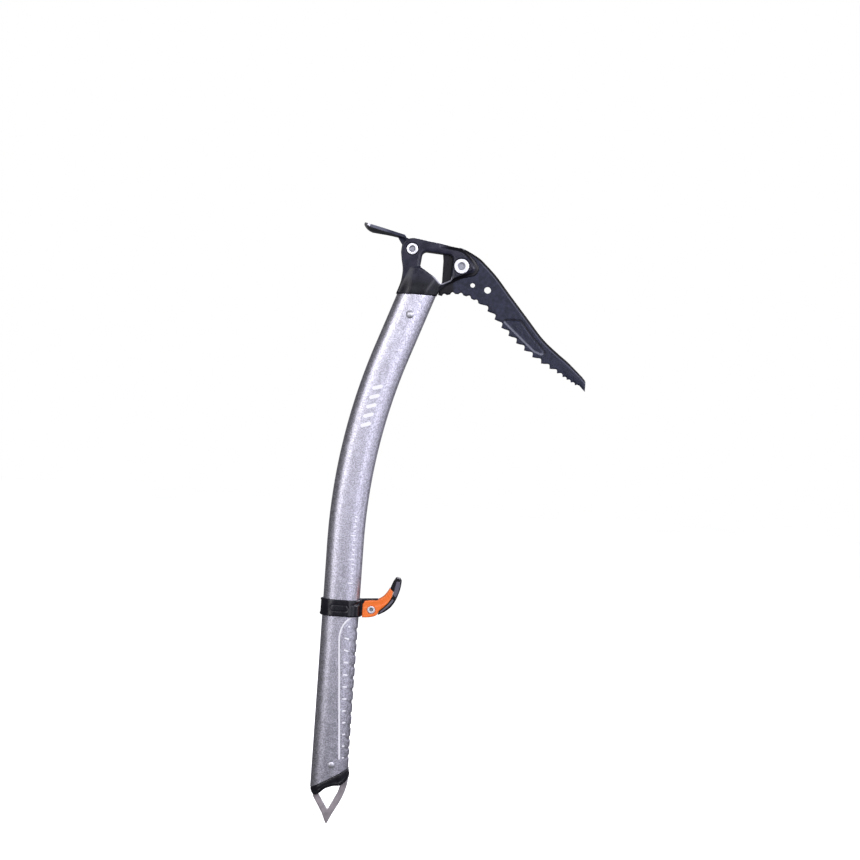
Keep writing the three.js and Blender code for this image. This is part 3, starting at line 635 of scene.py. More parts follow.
def make_shaft():
    """The tube as rings up its outside and down its bore, with slanted ends."""
    count = 156
    stations = [(s, 0.0) for s in np.arange(FOOT_Z + 0.4, 186, 0.45)]
    stations += [(s, 0.0) for s in np.arange(186, AXIS_LENGTH - 0.5, 2.2)]
    stations += [(AXIS_LENGTH - 0.4, 0.0), (AXIS_LENGTH - 0.12, 0.1), (AXIS_LENGTH, 0.35)]
    stations += [(AXIS_LENGTH, 1.5), (AXIS_LENGTH - 0.3, WALL)]
    stations += [(s, WALL) for s in np.arange(AXIS_LENGTH - 4, FOOT_Z + 6, -12)]
    stations += [(FOOT_Z + 0.3, WALL), (FOOT_Z, 1.5), (FOOT_Z, 0.35), (FOOT_Z + 0.12, 0.1)]
    rings = []
    for s, inset in stations:
        sec = section_points(count, inset)
        u, y = sec[:, 0].copy(), sec[:, 1].copy()
        if inset == 0 and s < GROOVED_TO:
            depth = groove_depth(u, s)
            nu, ny = np.maximum(u, 0) ** 2 / HALF_WIDTH**3 * 1.5, y / HALF_THICKNESS**2
            size = np.maximum(np.hypot(nu, ny), 1e-6)
            u = u - depth * nu / size
            y = y - depth * ny / size
        foot = FOOT_SLOPE * max(0.0, 1 - (s - FOOT_Z) / MITRE_REACH)
        top = math.tan(BEND) * max(0.0, 1 - (AXIS_LENGTH - s) / MITRE_REACH)
        along = s + u * (foot + top)
        ring = np.empty((count, 3))
        for k in range(count):
            x0, z0, tilt = axis_point(along[k])
            ring[k] = (x0 + u[k] * math.cos(tilt), y[k], z0 - u[k] * math.sin(tilt))
        rings.append(ring)
    v = np.vstack(rings)
    n = len(rings)
    i = np.arange(n)[:, None] * count
    j = np.arange(count)[None, :]
    nxt = ((np.arange(n) + 1) % n)[:, None] * count
    k = (j + 1) % count
    quads = np.stack([i + j, i + k, nxt + k, nxt + j], -1).reshape(-1, 4)
    made = mesh_object("shaft_tube", v, quads)
    made.data.materials.append(ALUMINIUM)
    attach(made, "axe")
    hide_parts("shaft")


make_shaft()


def shaft_surface(u, s, lift):
    """Point on the shaft's near side (y < 0) at offset u and distance s, lifted off the surface."""
    t = min(abs(u) / HALF_WIDTH, 0.98)
    half = HALF_THICKNESS * math.sqrt(1 - t**3)
    slope = 1.5 * HALF_THICKNESS**2 * t**2 / HALF_WIDTH / half
    size = math.hypot(1, slope)
    du = u + math.copysign(lift * slope / size, u)
    y = -half - lift / size
    x0, z0, tilt = axis_point(s)
    return (x0 + du * math.cos(tilt), y, z0 - du * math.sin(tilt))


PRINT_LIFT, PRINT_SINK = 0.05, -0.05


def ribbon(path, widths):
    """Vertices and faces of a thin strip of print along (u, s) points on the shaft's near side."""
    p = np.array(path, float)
    ahead = np.gradient(p, axis=0)
    ahead /= np.linalg.norm(ahead, axis=1)[:, None]
    left = np.stack([-ahead[:, 1], ahead[:, 0]], 1)
    v, faces = [], []
    lanes = (-1.0, -0.5, 0.0, 0.5, 1.0)
    for q, side, w in zip(p, left, widths):
        for lift in (PRINT_LIFT, PRINT_SINK):
            for lane in lanes:
                u, s = q + side * lane * w / 2
                v.append(shaft_surface(u, s, lift))
    m = len(lanes)
    for i in range(len(p) - 1):
        a, b = i * 2 * m, (i + 1) * 2 * m
        for k in range(m - 1):
            faces.append((a + k, a + k + 1, b + k + 1, b + k))
            faces.append((a + m + k, b + m + k, b + m + k + 1, a + m + k + 1))
        faces.append((a, b, b + m, a + m))
        faces.append((a + m - 1, a + 2 * m - 1, b + 2 * m - 1, b + m - 1))
    last = (len(p) - 1) * 2 * m
    for base, flip in ((0, 1), (last, 0)):
        for k in range(m - 1):
            quad = (base + k, base + m + k, base + m + k + 1, base + k + 1)
            faces.append(quad if flip else quad[::-1])
    return v, faces


def print_piece(name, strips):
    """Several strips of print on the near side, with their mirror images on the far side."""
    v, faces = [], []
    for path, widths in strips:
        sv, sf = ribbon(path, widths)
        for flip in (False, True):
            base = len(v)
            v += [(x, -y, z) if flip else (x, y, z) for x, y, z in sv]
            for face in sf:
                order = face[::-1] if flip else face
                faces.append(tuple(base + k for k in order))
    made = mesh_object(name, v, faces, smooth=False)
    made.data.materials.append(PRINT)
    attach(made, "axe")


def taper(n, w, ends=0.35):
    """Widths along a strip that narrow to round ends."""
    t = np.linspace(0, 1, n)
    return w * np.sqrt(np.clip(1 - np.clip(1 - np.minimum(t, 1 - t) / ends, 0, 1) ** 2, 0.02, 1))


grip_line = spline(
    [
        (11.72, 185.27), (10.33, 183.78), (6.16, 180.6), (2.89, 175.24), (1.2, 168.59),
        (1.1, 161.25), (3.78, 123.53), (6.76, 79.96), (8.05, 61.2), (8.25, 58.92),
    ],
    steps=10,
)
print_piece("print_grip_line", [(grip_line, taper(len(grip_line), 1.45, 0.015))])

# Painted highlights at the ends of the grooves, drawn in white print: left end, height, length and
# fall to the right.
GROOVE_HIGHLIGHTS = (
    (8.9, 175.64, 1.5, 0.0), (7.5, 165.32, 4.6, 1.0), (7.7, 154.7, 4.7, 1.0),
    (8.2, 144.28, 4.6, 0.75), (8.4, 133.36, 4.3, 0.25), (8.7, 122.84, 3.9, -0.05),
    (9.0, 112.22, 3.7, -0.2), (9.3, 101.7, 3.5, -0.4), (9.9, 91.38, 3.2, -0.5),
    (10.5, 80.96, 2.8, -0.4), (10.9, 70.73, 2.4, -0.3), (11.3, 60.31, 1.8, -0.1),
)
groove_highlights = []
t = np.linspace(-0.5, 0.5, 9)
for i, (x, s, length, fall) in enumerate(GROOVE_HIGHLIGHTS):
    path = np.stack([x + length * t, s - fall * t - 0.8 * (t + 0.1) ** 2], 1)
    groove_highlights.append((path, taper(9, 1.25 if i else 1.45, 0.15)))
print_piece("painted_groove_highlights", groove_highlights)

# Plain slanted bars on the upper shaft, and a row of plain ticks lower down.
bars = []
for k in range(5):
    s = 352.0 + 8.6 * k
    path = [(-4.2 + 8.4 * t, s + 5.2 * t) for t in np.linspace(0, 1, 9)]
    bars.append((path, taper(9, 3.4, 0.12)))
print_piece("print_bars", bars)
ticks = []
for k in range(15):
    s = 214.0 + 4.2 * k
    long = 5.0 if k % 5 == 0 else 2.8
    path = [(9.4 - long + long * t, s) for t in np.linspace(0, 1, 5)]
    ticks.append((path, taper(5, 0.95, 0.2)))
print_piece("print_ticks", ticks)

# ---------- Pick ----------
SPINE = spline(
    [
        (84.0, 515.3), (90.7, 512.8), (100.7, 507.3), (107.5, 501.5), (117.4, 491.8),
        (130.2, 476.5), (145.6, 458.5), (161.1, 440.5), (173.8, 429.6), (186.3, 420.2),
        (197.2, 411.0), (201.8, 406.2),
    ],
    steps=6,
)
TOOTH_LINE = spline(
    [
        (68.4, 471.5), (83, 474.6), (97.3, 470.8), (110.9, 461.3), (131.1, 440.8), (154.5, 422.7),
        (176.7, 410.4), (193.2, 400.9),
    ],
    steps=40,
)
TOOTH_PITCHES = [7.4] * 5 + [9.5] * 8 + [8.9, 7.7, 5.9, 4.3, 4.3, 4.5]
# Each notch as shares of the pitch and of the depth.
REAR_TEETH, FIRST_FINE_TOOTH = 5, 15
REAR_TOOTH = [(t, math.sin(math.pi * (t - 0.2) / 0.6)) for t in np.linspace(0.2, 0.8, 7)]
FRONT_TOOTH = [
    (0, 0), (0.3, 0.42), (0.5, 0.78), (0.62, 0.98), (0.7, 1.05), (0.77, 1.0), (0.84, 0.84),
    (0.91, 0.5),
]
FINE_TOOTH = [(0, 0), (0.16, 0.34), (0.34, 0.8), (0.52, 1.05), (0.7, 1.0), (0.85, 0.66)]


def tooth_points():
    """The pick's lower edge from the shaft to the point."""
    line = np.array(TOOTH_LINE)
    along = np.concatenate([[0], np.cumsum(np.linalg.norm(np.diff(line, axis=0), axis=1))])

    def at(s, inward):
        s = min(s, along[-1])
        p = np.array([np.interp(s, along, line[:, k]) for k in (0, 1)])
        q = np.array([np.interp(s - 0.5, along, line[:, k]) for k in (0, 1)])
        r = np.array([np.interp(s + 0.5, along, line[:, k]) for k in (0, 1)])
        ahead = (r - q) / np.linalg.norm(r - q)
        return tuple(p + np.array([-ahead[1], ahead[0]]) * inward)

    out = []
    start = 0.0
    for i, pitch in enumerate(TOOTH_PITCHES):
        profile, depth = FRONT_TOOTH, 0.33 * pitch
        if i < REAR_TEETH:
            profile, depth = REAR_TOOTH, 1.75
        elif i >= FIRST_FINE_TOOTH:
            profile, depth = FINE_TOOTH, 0.36 * pitch
        out += [at(start + t * pitch, rise * depth) for t, rise in profile]
        start += pitch
    out.append(at(start, 0))
    return out


PICK = Outline(
    [(66.4, 472.6)]
    + tooth_points()
    + [(194.6, 402.0), (196.6, 401.2), (201.7, 396.1), (201.8, 406.2)]
    + SPINE[::-1][1:]
    + [(67.4, 515.2), (69.0, 503.0), (69.0, 484.0)]
)
SPINE_SIDE = Outline(SPINE + [(230.0, 380.0), (60.0, 380.0), (60.0, 515.6)], margin=4, cell=0.3)
PAD = Outline(
    rounded(
        [
            (125.6, 452.6, 0.8), (128.6, 454.3, 2.0), (140.6, 454.3, 2.4), (150.2, 442.4, 8),
            (163.9, 428.0, 1.5), (161.0, 425.6, 2.0), (153.8, 428.2, 4),
        ]
    ),
    margin=8,
)
PAD_MARK = Outline(
    rounded([(133.4, 451.0, 0.8), (140.6, 449.0, 0.8), (145.2, 439.2, 0.8)]), margin=8
)
PICK_HOLES = [(96.3, 483.1, 2.05), (109.8, 479.7, 2.98), (85.3, 498.6, 4.3)]
AHEAD_X, AHEAD_Z = 0.81, -0.587  # the way the front of the pick points


def across_pad(x, z):
    """Distance across the pad from its middle, towards the spine."""
    return AHEAD_X * (z - 441) - AHEAD_Z * (x - 140)


def pick_field(x, y, z):
    along = (x - 150) * AHEAD_X + (z - 437) * AHEAD_Z
    spine, lower, pad, mark = -SPINE_SIDE(x, z), -PICK(x, z), -PAD(x, z), -PAD_MARK(x, z)
    across = across_pad(x, z)
    height = 2.0 - 0.4 * smoothstep(0, 60, along)
    height = height - (0.95 + 0.25 * smoothstep(10, 55, along)) * np.clip(1 - spine / 2.5, 0, 1)
    height = height - 0.55 * smoothstep(28, 52, along) * np.clip(1 - lower / 4.2, 0, 1) ** 1.5
    height = height - 0.3 * np.clip(1 - lower / 0.9, 0, 1)
    height = height + 0.65 * smoothstep(0, 0.8 + 0.9 * smoothstep(3, 1, across), pad)
    height = height - 0.32 * ridge(pad + 0.8, 0.8) * smoothstep(1.5, 3.5, across)
    height = height + 0.16 * smoothstep(0, 0.5, mark) * smoothstep(1.5, 1.0, mark)
    f = cut(-lower, np.abs(y) - height, 0.25)
    for cx, cz, r in PICK_HOLES:
        f = cut(f, -pin(x, z, cx, cz, r), 0.25)
    return f


pick = solid_piece(
    "pick_blade", pick_field, (66, -2.7, 395.5), (202.5, 2.7, 516), 0.4,
    "axe", ["pick"], SLATE,
)


def pick_painted_light(x, y, z):
    """Painted shade along the spine, along the pad's upper side and on the rear end seen through
    the head's window; painted highlights along the pad's lower edge and in a thin line inside the
    spine's dark band.
    """
    spine, pad = -SPINE_SIDE(x, z), -PAD(x, z)
    across = across_pad(x, z)
    flat = (np.abs(y) > 0.6) * 1.0
    # Painted shade: in the channel along the pad's upper side, along the spine's edge, and on the
    # rear end inside the head.
    groove = 0.75 * ridge(pad + 0.7, 0.8, 1.25) * smoothstep(1.5, 3.5, across)
    spine_shade = smoothstep(2.1, 1.5, spine) * smoothstep(84, 92, x)
    dark = overlap(spine_shade, groove, 0.85 * smoothstep(81, 78, x))
    # Painted highlights: along the pad's lower edge, and a thin line just inside the spine's dark
    # band.
    bevel = 0.75 * ridge(pad - 0.6, 0.9, 1.3) * smoothstep(3, 1.5, across)
    line = 0.22 * ridge(spine - 2.6, 0.5) * smoothstep(98, 106, x)
    return np.maximum(bevel, line) * flat - dark


tint(pick, pick_painted_light)

# ---------- Head ----------
HEAD = Outline(
    spline([(64.3, 471.2), (66.5, 474.4), (71.0, 479.3), (77.5, 483.2), (84.0, 486.8)], 6)
    + spline(
        [
            (88.0, 488.5), (92.3, 489.7), (97.0, 491.1), (100.1, 494.3), (100.9, 498.1),
            (99.3, 501.9), (95.5, 506.8), (90.7, 511.0), (86.1, 514.0), (82.0, 515.2),
        ],
        6,
    )
    + spline(
        [
            (70.0, 516.9), (56.0, 518.6), (47.5, 520.0), (41.5, 520.6), (35.5, 519.0),
            (32.0, 514.5), (31.2, 508.0),
        ],
        6,
    )
    + spline([(32.2, 501.0), (33.6, 494.0), (33.6, 488.0), (32.4, 480.0), (29.6, 471.2)], 6),
    margin=10,
)
WINDOW = Outline(
    rounded(
        [
            (62.6, 487.3, 3.0), (68.0, 481.7, 3.0), (76.7, 486.2, 1.8), (77.8, 508.0, 4.0),
            (50.4, 509.9, 4.0), (48.8, 496.2, 3.2),
        ],
        8,
    ),
    margin=10,
)
TILT_COS, TILT_SIN = math.cos(BEND), math.sin(BEND)
PICK_BOLT, ADZE_BOLT, SPIKE_RIVET = (85.3, 498.6), (41.0, 511.0), (1.5, 53.6)
HEAD_HALF, BOLT_SEAT = 7.0, 5.5
PICK_SLOT_X, PLATE_SLOT = 64.6, 2.25  # where the pick's slot starts, and half a slot's width


def column(x, y, z, half_width, half_thickness):
    """The upper shaft's section carried on upwards."""
    u = (x - 46.2) * TILT_COS - (z - 468.4) * TILT_SIN
    return stadium(u, y, half_width, half_thickness)


def head_field(x, y, z):
    out, window, side = HEAD(x, z), WINDOW(x, z), np.abs(y)
    # The flank round the ear falls away in a cove, which is wide at the ear's front and top.
    width = 2.7 + 3.6 * smoothstep(84, 99, x) + 0.9 * smoothstep(504, 512, z)
    t = np.clip(-out / width, 0, 1)
    cove = np.where(t < 1, np.sqrt(np.clip(1 - t * t, 0, 1)), 0)
    flank = 3.9 * smoothstep(64, 74, x) * cove
    height = HEAD_HALF - flank - 0.45 * (1 - smoothstep(0.4, 3.2, window))
    plate = cut(out, (side - height) * 0.8, 1.0)
    neck = column(x, y, z, HALF_WIDTH, HALF_THICKNESS - 3.4 * smoothstep(472.5, 494, z))
    f = join(plate, cut(neck, z - 495, 2.0), 2.2)
    f = cut(f, -window, 1.3)
    f = cut(f, SHAFT_TOP + 0.15 - z, 0.25)
    f = np.minimum(f, overlap(column(x, y, z, *INSERT), 463 - z, z - 474))
    slot = side - PLATE_SLOT
    f = remove(f, overlap(PICK_SLOT_X - x, slot), overlap(x - 49.2, 502.6 - z, slot))
    for centre, r in ((PICK_BOLT, 7.15), (ADZE_BOLT, 5.65)):
        f = cut(f, -np.maximum(pin(x, z, *centre, r), BOLT_SEAT - side), 0.35)
        f = remove(f, pin(x, z, *centre, r * 0.57))
    return f


head = solid_piece(
    "head_forging", head_field, (29, -10.6, 462.5), (101.5, 10.6, 521), (0.45, 0.4, 0.45),
    "axe", ["head_body"], FORGING,
)


def head_painted_light(x, y, z):
    """Painted shade on the flank round the ear and on the neck, and a painted highlight on the
    window's lower rim.
    """
    flank = 0.9 * smoothstep(4.2, 2.6, -HEAD(x, z)) * smoothstep(66, 74, x)
    dark = np.maximum(flank, 0.7 * smoothstep(490, 480, z))
    # A painted highlight along the window's lower rim.
    rim = ridge(WINDOW(x, z) - 0.5, 0.8, 1.3) * smoothstep(490, 486, z) * (np.abs(y) > 2)
    return 0.85 * rim - dark * (1 - rim)


tint(head, head_painted_light)

# ---------- Adze ----------
ADZE_SLOPE = math.radians(13)
ADZE_TIP = (-2.5, 531.4)
ADZE_HALF, ADZE_EDGE_SWEEP, ADZE_THICKNESS = 21.0, 4.1, 2.7
ADZE_CROWN_RADIUS = (21.5**2 + 1.6**2) / (2 * 1.6)
ADZE_PLAN = Outline(
    spline([(-21.0, 4.1), (-16, 1.7), (-8, 0.35), (0, 0), (8, 0.35), (16, 1.7), (21.0, 4.1)], 6)
    + spline([(19.4, 8.5), (15.6, 16.0), (11.2, 23.5), (8.8, 30.0), (7.4, 37.5)], 6)
    + spline([(-7.4, 37.5), (-8.8, 30.0), (-11.2, 23.5), (-15.6, 16.0), (-19.4, 8.5)], 6),
    margin=8,
)
ADZE_TAB = Outline(
    rounded(
        [
            (44.5, 504.5, 4), (48.4, 511, 5), (44.5, 518.5, 4), (38.5, 519.8, 1),
            (29.5, 523.6, 1), (28.2, 519.8, 1), (33.5, 512.0, 6), (36.5, 504.8, 4),
        ]
    ),
    margin=8,
)


def adze_local(x, z):
    """Distance along the blade from its cutting edge, and up from it."""
    dx, dz = x - ADZE_TIP[0], z - ADZE_TIP[1]
    along = dx * math.cos(ADZE_SLOPE) - dz * math.sin(ADZE_SLOPE)
    up = dx * math.sin(ADZE_SLOPE) + dz * math.cos(ADZE_SLOPE)
    return along, up


def adze_ground(along, y):
    """Distance back from the curved cutting edge."""
    return along - ADZE_EDGE_SWEEP * np.clip(np.abs(y) / ADZE_HALF, 0, 1) ** 2


def adze_field(x, y, z):
    along, up = adze_local(x, z)
    top = np.sqrt(ADZE_CROWN_RADIUS**2 - y**2) - ADZE_CROWN_RADIUS
    thick = ADZE_THICKNESS - 0.9 * np.clip(1 - adze_ground(along, y) / 4.0, 0, 1)
    slab = np.abs(up - top + thick / 2) - thick / 2
    tab = cut(ADZE_TAB(x, z), np.abs(y) - 2.0, 0.4)
    f = join(cut(ADZE_PLAN(y, along), slab, 0.3), tab, 2.4)
    # Only the tab goes into the head.
    f = np.maximum(f, np.minimum(0.35 - HEAD(x, z), np.abs(y) - 2.0))
    return remove(f, pin(x, z, *ADZE_BOLT, 3.3))


adze = solid_piece(
    "adze_blade", adze_field, (-3.2, -21.3, 500), (50, 21.3, 532.5), (0.4, 0.4, 0.32),
    "axe", ["adze"], SLATE,
)
repaint(adze, GROUND, lambda x, y, z: adze_ground(adze_local(x, z)[0], y) < 2.6)


def adze_painted_light(x, y, z):
    """Painted light: paler towards both sides of the blade."""
    along, _ = adze_local(x, z)
    return 0.32 * smoothstep(9, 15, np.abs(y)) * smoothstep(36, 20, along)


tint(adze, adze_painted_light)

# ---------- Fasteners ----------


def hexagon(x, z, cx, cz, across):
    """Distance to a hexagonal prism along Y, by its width across flats."""
    dx, dz = np.abs(x - cx), np.abs(z - cz)
    return np.maximum(dz, 0.866 * dx + 0.5 * dz) - across / 2


def bolt_piece(name, centre, seat, head_r, head_h, shank_r, tail, key, body, node, step=0.22):
    """A socket head whose underside is at y = -seat, and a shank that ends at y = tail."""
    cx, cz = centre
    bowl = key * 0.58 + 0.12 * head_r
    crown = seat + head_h

    def field(x, y, z):
        r = pin(x, z, cx, cz, 0)
        depth = y + crown
        head = cut(r - head_r, np.maximum(y + seat, -depth), 0.4)
        dished = np.maximum(r - (bowl - 0.9 * depth), depth - 0.5)
        head = cut(head, -dished, 0.12)
        socket = np.maximum(hexagon(x, z, cx, cz, key), depth - 1.2)
        head = cut(head, -socket, 0.15)
        shank = cut(r - shank_r, np.maximum(-seat - 0.5 - y, y - tail), 0.25)
        return remove(np.minimum(head, shank), socket)

    def in_bowl(x, y, z):
        return (pin(x, z, cx, cz, bowl + 0.05) < 0) & (y > 0.06 - crown) & (y < 0)

    low = (cx - head_r, -crown, cz - head_r)
    high = (cx + head_r, tail, cz + head_r)
    made = solid_piece(name, field, low, high, step, body, [node], ZINC, relax=1)
    # The bowl and socket take the grey: painted shade in the recess.
    repaint(made, BOWL_SHADE, in_bowl)


def ring_piece(name, centre, low_y, high_y, outer, inner, body, node, slots=0):
    """A washer or round nut, with pin holes for a face spanner where slots are asked for."""
    cx, cz = centre

    def field(x, y, z):
        r = pin(x, z, cx, cz, 0)
        mid, half = (low_y + high_y) / 2, (high_y - low_y) / 2
        f = cut(r - outer, np.abs(y - mid) - half, min(0.3, half * 0.8))
        f = cut(f, inner - r, 0.15)
        for k in range(slots):
            a = 2 * math.pi * k / slots + 0.4
            reach = (outer + inner) / 2
            hole = pin(x, z, cx + reach * math.cos(a), cz + reach * math.sin(a), outer * 0.11)
            f = cut(f, -np.maximum(hole, high_y - 1.2 - y), 0.1)
        return f

    return solid_piece(
        name, field, (cx - outer, low_y, cz - outer), (cx + outer, high_y, cz + outer), 0.2,
        body, [node], ZINC, relax=1,
    )


def rivet_piece(name, centre, shank, dome, rise, node):
    """A rivet through the shaft, with a dome of this radius and rise on each side."""
    cx, cz = centre
    face = HALF_THICKNESS + 0.1
    ball = (dome**2 + rise**2) / (2 * rise)

    def field(x, y, z):
        r = pin(x, z, cx, cz, 0)
        cap = np.hypot(r, np.abs(y) - face - rise + ball) - ball
        cap = cut(cap, np.maximum(face - np.abs(y), r - dome + 0.05), 0.12)
        return np.minimum(cap, cut(r - shank, np.abs(y) - face - 0.4, 0.1))

    reach = face + rise
    return solid_piece(
        name, field, (cx - dome, -reach, cz - dome), (cx + dome, reach, cz + dome), 0.25,
        "axe", [node], RIVET, relax=1,
    )


bolt_piece("pick_bolt_head", PICK_BOLT, 5.7, 6.5, 2.2, 4.0, 8.3, 4.6, "axe", "pick_bolt")
ring_piece("pick_bolt_disc", PICK_BOLT, 5.7, 6.3, 6.5, 4.2, "axe", "pick_bolt_washer")
ring_piece("pick_bolt_sleeve", PICK_BOLT, 6.4, 8.6, 6.4, 4.2, "axe", "pick_bolt_nut", 4)
bolt_piece("adze_bolt_head", ADZE_BOLT, 5.7, 5.0, 2.0, 3.0, 8.1, 4.0, "axe", "adze_bolt")
ring_piece("adze_bolt_disc", ADZE_BOLT, 5.7, 6.3, 5.0, 3.2, "axe", "adze_bolt_washer")
ring_piece("adze_bolt_sleeve", ADZE_BOLT, 6.4, 8.4, 4.9, 3.2, "axe", "adze_bolt_nut", 4)
rivet_piece("head_rivet_domes", (43.0, 453.0), 2.7, 3.75, 1.7, "head_rivet")
rivet_piece("spike_rivet_domes", SPIKE_RIVET, 2.0, 3.2, 0.9, "spike_rivet")

# ---------- Spike and its plug ----------
SPIKE = Outline(
    [(0.75, 0.05), (-0.65, 0.05)]
    + spline([(-4.5, 9.0), (-10.4, 18.9), (-12.8, 22.8), (-14.2, 27.8)], 6)
    + [(-11.0, 33.0), (-8.5, 61.0), (9.5, 61.0), (11.5, 39.0)]
    + spline([(16.9, 42.0), (16.4, 36.1), (14.5, 28.8), (11.4, 21.0), (4.6, 8.4)], 6)
)
SPIKE_EYE = Outline(
    rounded(
        [
            (0.4, 11.9, 0.8), (-8.6, 25.8, 1.2), (-7.2, 29.0, 2.0), (-3.0, 33.0, 4.0),
            (4.0, 35.8, 4.0), (10.8, 36.6, 0.8), (8.4, 28.2, 6.0),
        ]
    )
)


def spike_field(x, y, z):
    out = SPIKE(x, z)
    eye = SPIKE_EYE(x, z)
    height = 1.5 - 0.45 * np.clip(1 + out / 1.3, 0, 1) - 0.35 * np.clip(1 - z / 14, 0, 1)
    f = cut(out, np.abs(y) - height, 0.25)
    f = cut(f, -eye, 0.35)
    return remove(f, pin(x, z, *SPIKE_RIVET, 2.3))


solid_piece(
    "spike_blade", spike_field, (-14.5, -1.6, 0), (17.2, 1.6, 61), 0.35,
    "axe", ["spike"], STAINLESS,
)

PLUG = Outline(
    spline([(-16.6, 36.0), (-16.2, 31.6), (-14.7, 27.8), (-11.6, 26.0), (-8.6, 26.9)], 6)
    + spline(
        [
            (-5.6, 29.6), (-2.2, 32.4), (4.4, 34.9), (10.4, 35.7), (14.6, 38.6), (17.7, 42.3),
            (18.2, 45.4), (16.9, 48.6), (16.3, 54),
        ],
        6,
    )
    + [(16.3, 60), (-16.6, 60)],
    margin=8,
)


def plug_field(x, y, z):
    # Distance above the slanted end of the tube, which the rim ends at.
    above = z - (FOOT_Z - 0.25) - x * FOOT_SLOPE
    up = -PLUG(x, z)
    bulge = 0.35 * ridge(above + 2.6, 3.5)
    bulge = bulge + 0.35 * ridge(up - 2.5, 0.8) - 0.6 * np.clip(1 - up / 2.2, 0, 1)
    rim = stadium(x - 0.55, y, 17.5, HALF_THICKNESS - 0.1 + bulge)
    rim = cut(rim, -up, 1.6)
    rim = cut(rim, above * 0.86, 0.3)
    inner = overlap(stadium(x, y, *INSERT), z - 66, FOOT_Z - 4 + x * FOOT_SLOPE - z)
    f = np.minimum(rim, inner)
    f = cut(f, -np.maximum(np.abs(y) - 1.8, z - 62), 0.2)
    return remove(f, pin(x, z, *SPIKE_RIVET, 2.3))


solid_piece(
    "spike_plug_moulding", plug_field, (-17, -11, 25.5), (18.5, 11, 66.5), (0.45, 0.4, 0.45),
    "axe", ["spike_plug"], BLACK_PLASTIC,
)

# ---------- Hand rest: heights are from the screw ----------
REST_Z, SCREW_X = 191.6, 27.0
LEVER_HALF, COLLAR_HALF = 6.9, 7.4
LUG_OFFSET, LUG_HALF = 3.45, 1.15  # a lug's middle and half thickness across the part
LUG = Outline(
    rounded(
        [
            (14.0, -6.2, 0), (22.8, -6.0, 1), (32.6, -5.6, 4.5), (32.9, 4.0, 3), (32.8, 9.5, 1.0),
            (14.0, 8.1, 0),
        ]
    )
)
LEVER = Outline(
    spline(
        [
            (20.9, 7.4), (24.8, 8.1), (28.9, 8.4), (32.0, 8.8), (36.5, 11.6), (39.6, 15.3),
            (42.3, 19.9),
        ],
        6,
    )
    + spline(
        [
            (45.3, 17.1), (44.8, 14.0), (43.8, 11.0), (41.5, 7.0), (38.3, 3.4), (34.3, -0.4),
            (33.0, -3.0),
        ],
        6,
    )
    + spline([(31.9, -4.6), (29.2, -6.0), (24.5, -7.0), (19.2, -7.4)], 6)
    + [(19.2, -1.6), (19.1, 4.0)]
)
CREASE = Outline(
    spline([(17.9, 1.2), (25.8, 2.3), (31.0, 3.2), (37.9, 5.7), (42.0, 9.4), (46.0, 16.2)], 6)
    + [(60, 36), (12, 36)],
    margin=10,
)
GRIP = Outline(
    spline(
        [
            (32.8, -4.2), (34.6, -3.6), (39.9, -0.4), (44.7, 4.2), (48.1, 10.0), (50.3, 16.2),
            (51.6, 21.4), (52.0, 26.5),
        ],
        6,
    )
    + spline([(50.7, 28.6), (48.1, 29.3), (46.8, 28.9)], 6)
    + spline([(44.5, 25.1), (42.7, 20.2)], 6)
    + spline(
        [
            (45.52, 16.94), (45.02, 13.84), (44.02, 10.84), (41.72, 6.84), (38.52, 3.24),
            (34.52, -0.56), (33.22, -3.16),
        ],
        6,
    )
)
NOTCH = Outline([(8.2, 2.6), (19.5, 8.6), (19.5, 1.8)], margin=10)
PANEL = Outline(rounded([(-8.6, -3.4, 3.3), (8.6, -3.4, 3.3), (8.6, 3.4, 3.3), (-8.6, 3.4, 3.3)]))


def about_screw(x, z):
    """Distance and angle in degrees from the screw that the lever turns on."""
    dx = x - SCREW_X
    return np.hypot(dx, z), np.degrees(np.arctan2(z, dx)) % 360


def lug_room(x, y, z):
    """The slots in the lever that the collar's two lugs swing in."""
    r, angle = about_screw(x, z)
    reach = np.where((angle > 2) & (angle < 250), 12.35, 7.95)
    return np.maximum(r - reach, np.abs(np.abs(y) - LUG_OFFSET) - LUG_HALF - 0.32)


def collar_field(x, y, z):
    z = z - REST_Z
    side = np.abs(y)
    ring = cut(stadium(x, y, 18.45, 12.75), np.abs(z) - COLLAR_HALF, 1.1)
    panel = PANEL(x + 1.0, z)
    recess = 0.3 * smoothstep(0.2, -0.5, panel) - 0.22 * smoothstep(-0.9, -1.6, panel)
    ring = ring + np.where(side > 9, recess, 0)
    ring = ring + 1.05 * smoothstep(0.2, -1.5, NOTCH(x, z)) * smoothstep(6, 8, side)
    lugs = cut(LUG(x, z), np.abs(side - LUG_OFFSET) - LUG_HALF, 0.35)
    lip = cut(LUG(x, z), np.maximum(side - 4.6, 6.0 - z), 0.5)
    lip = np.maximum(lip, x - 19.4)
    f = join(ring, np.minimum(lugs, lip), 1.5)
    f = cut(f, -stadium(x, y, 16.55, 10.85), 0.6)
    shoe_room = overlap(x - 17.9, side - 4.0, z - 5.6, -5.2 - z)
    cam_room = overlap(15 - x, side - 2.2, z - 5.6, -7.0 - z)
    cheek_room = overlap(17.5 - x, 4.6 - side, np.abs(z) - 12)
    return remove(f, shoe_room, cam_room, cheek_room, pin(x, z, SCREW_X, 0, 2.3))


solid_piece(
    "rest_collar_moulding", collar_field, (-18.6, -12.9, REST_Z - 7.6), (33.4, 12.9, REST_Z + 11),
    0.4, "hand_rest", ["rest_collar"], BLACK_PLASTIC,
)


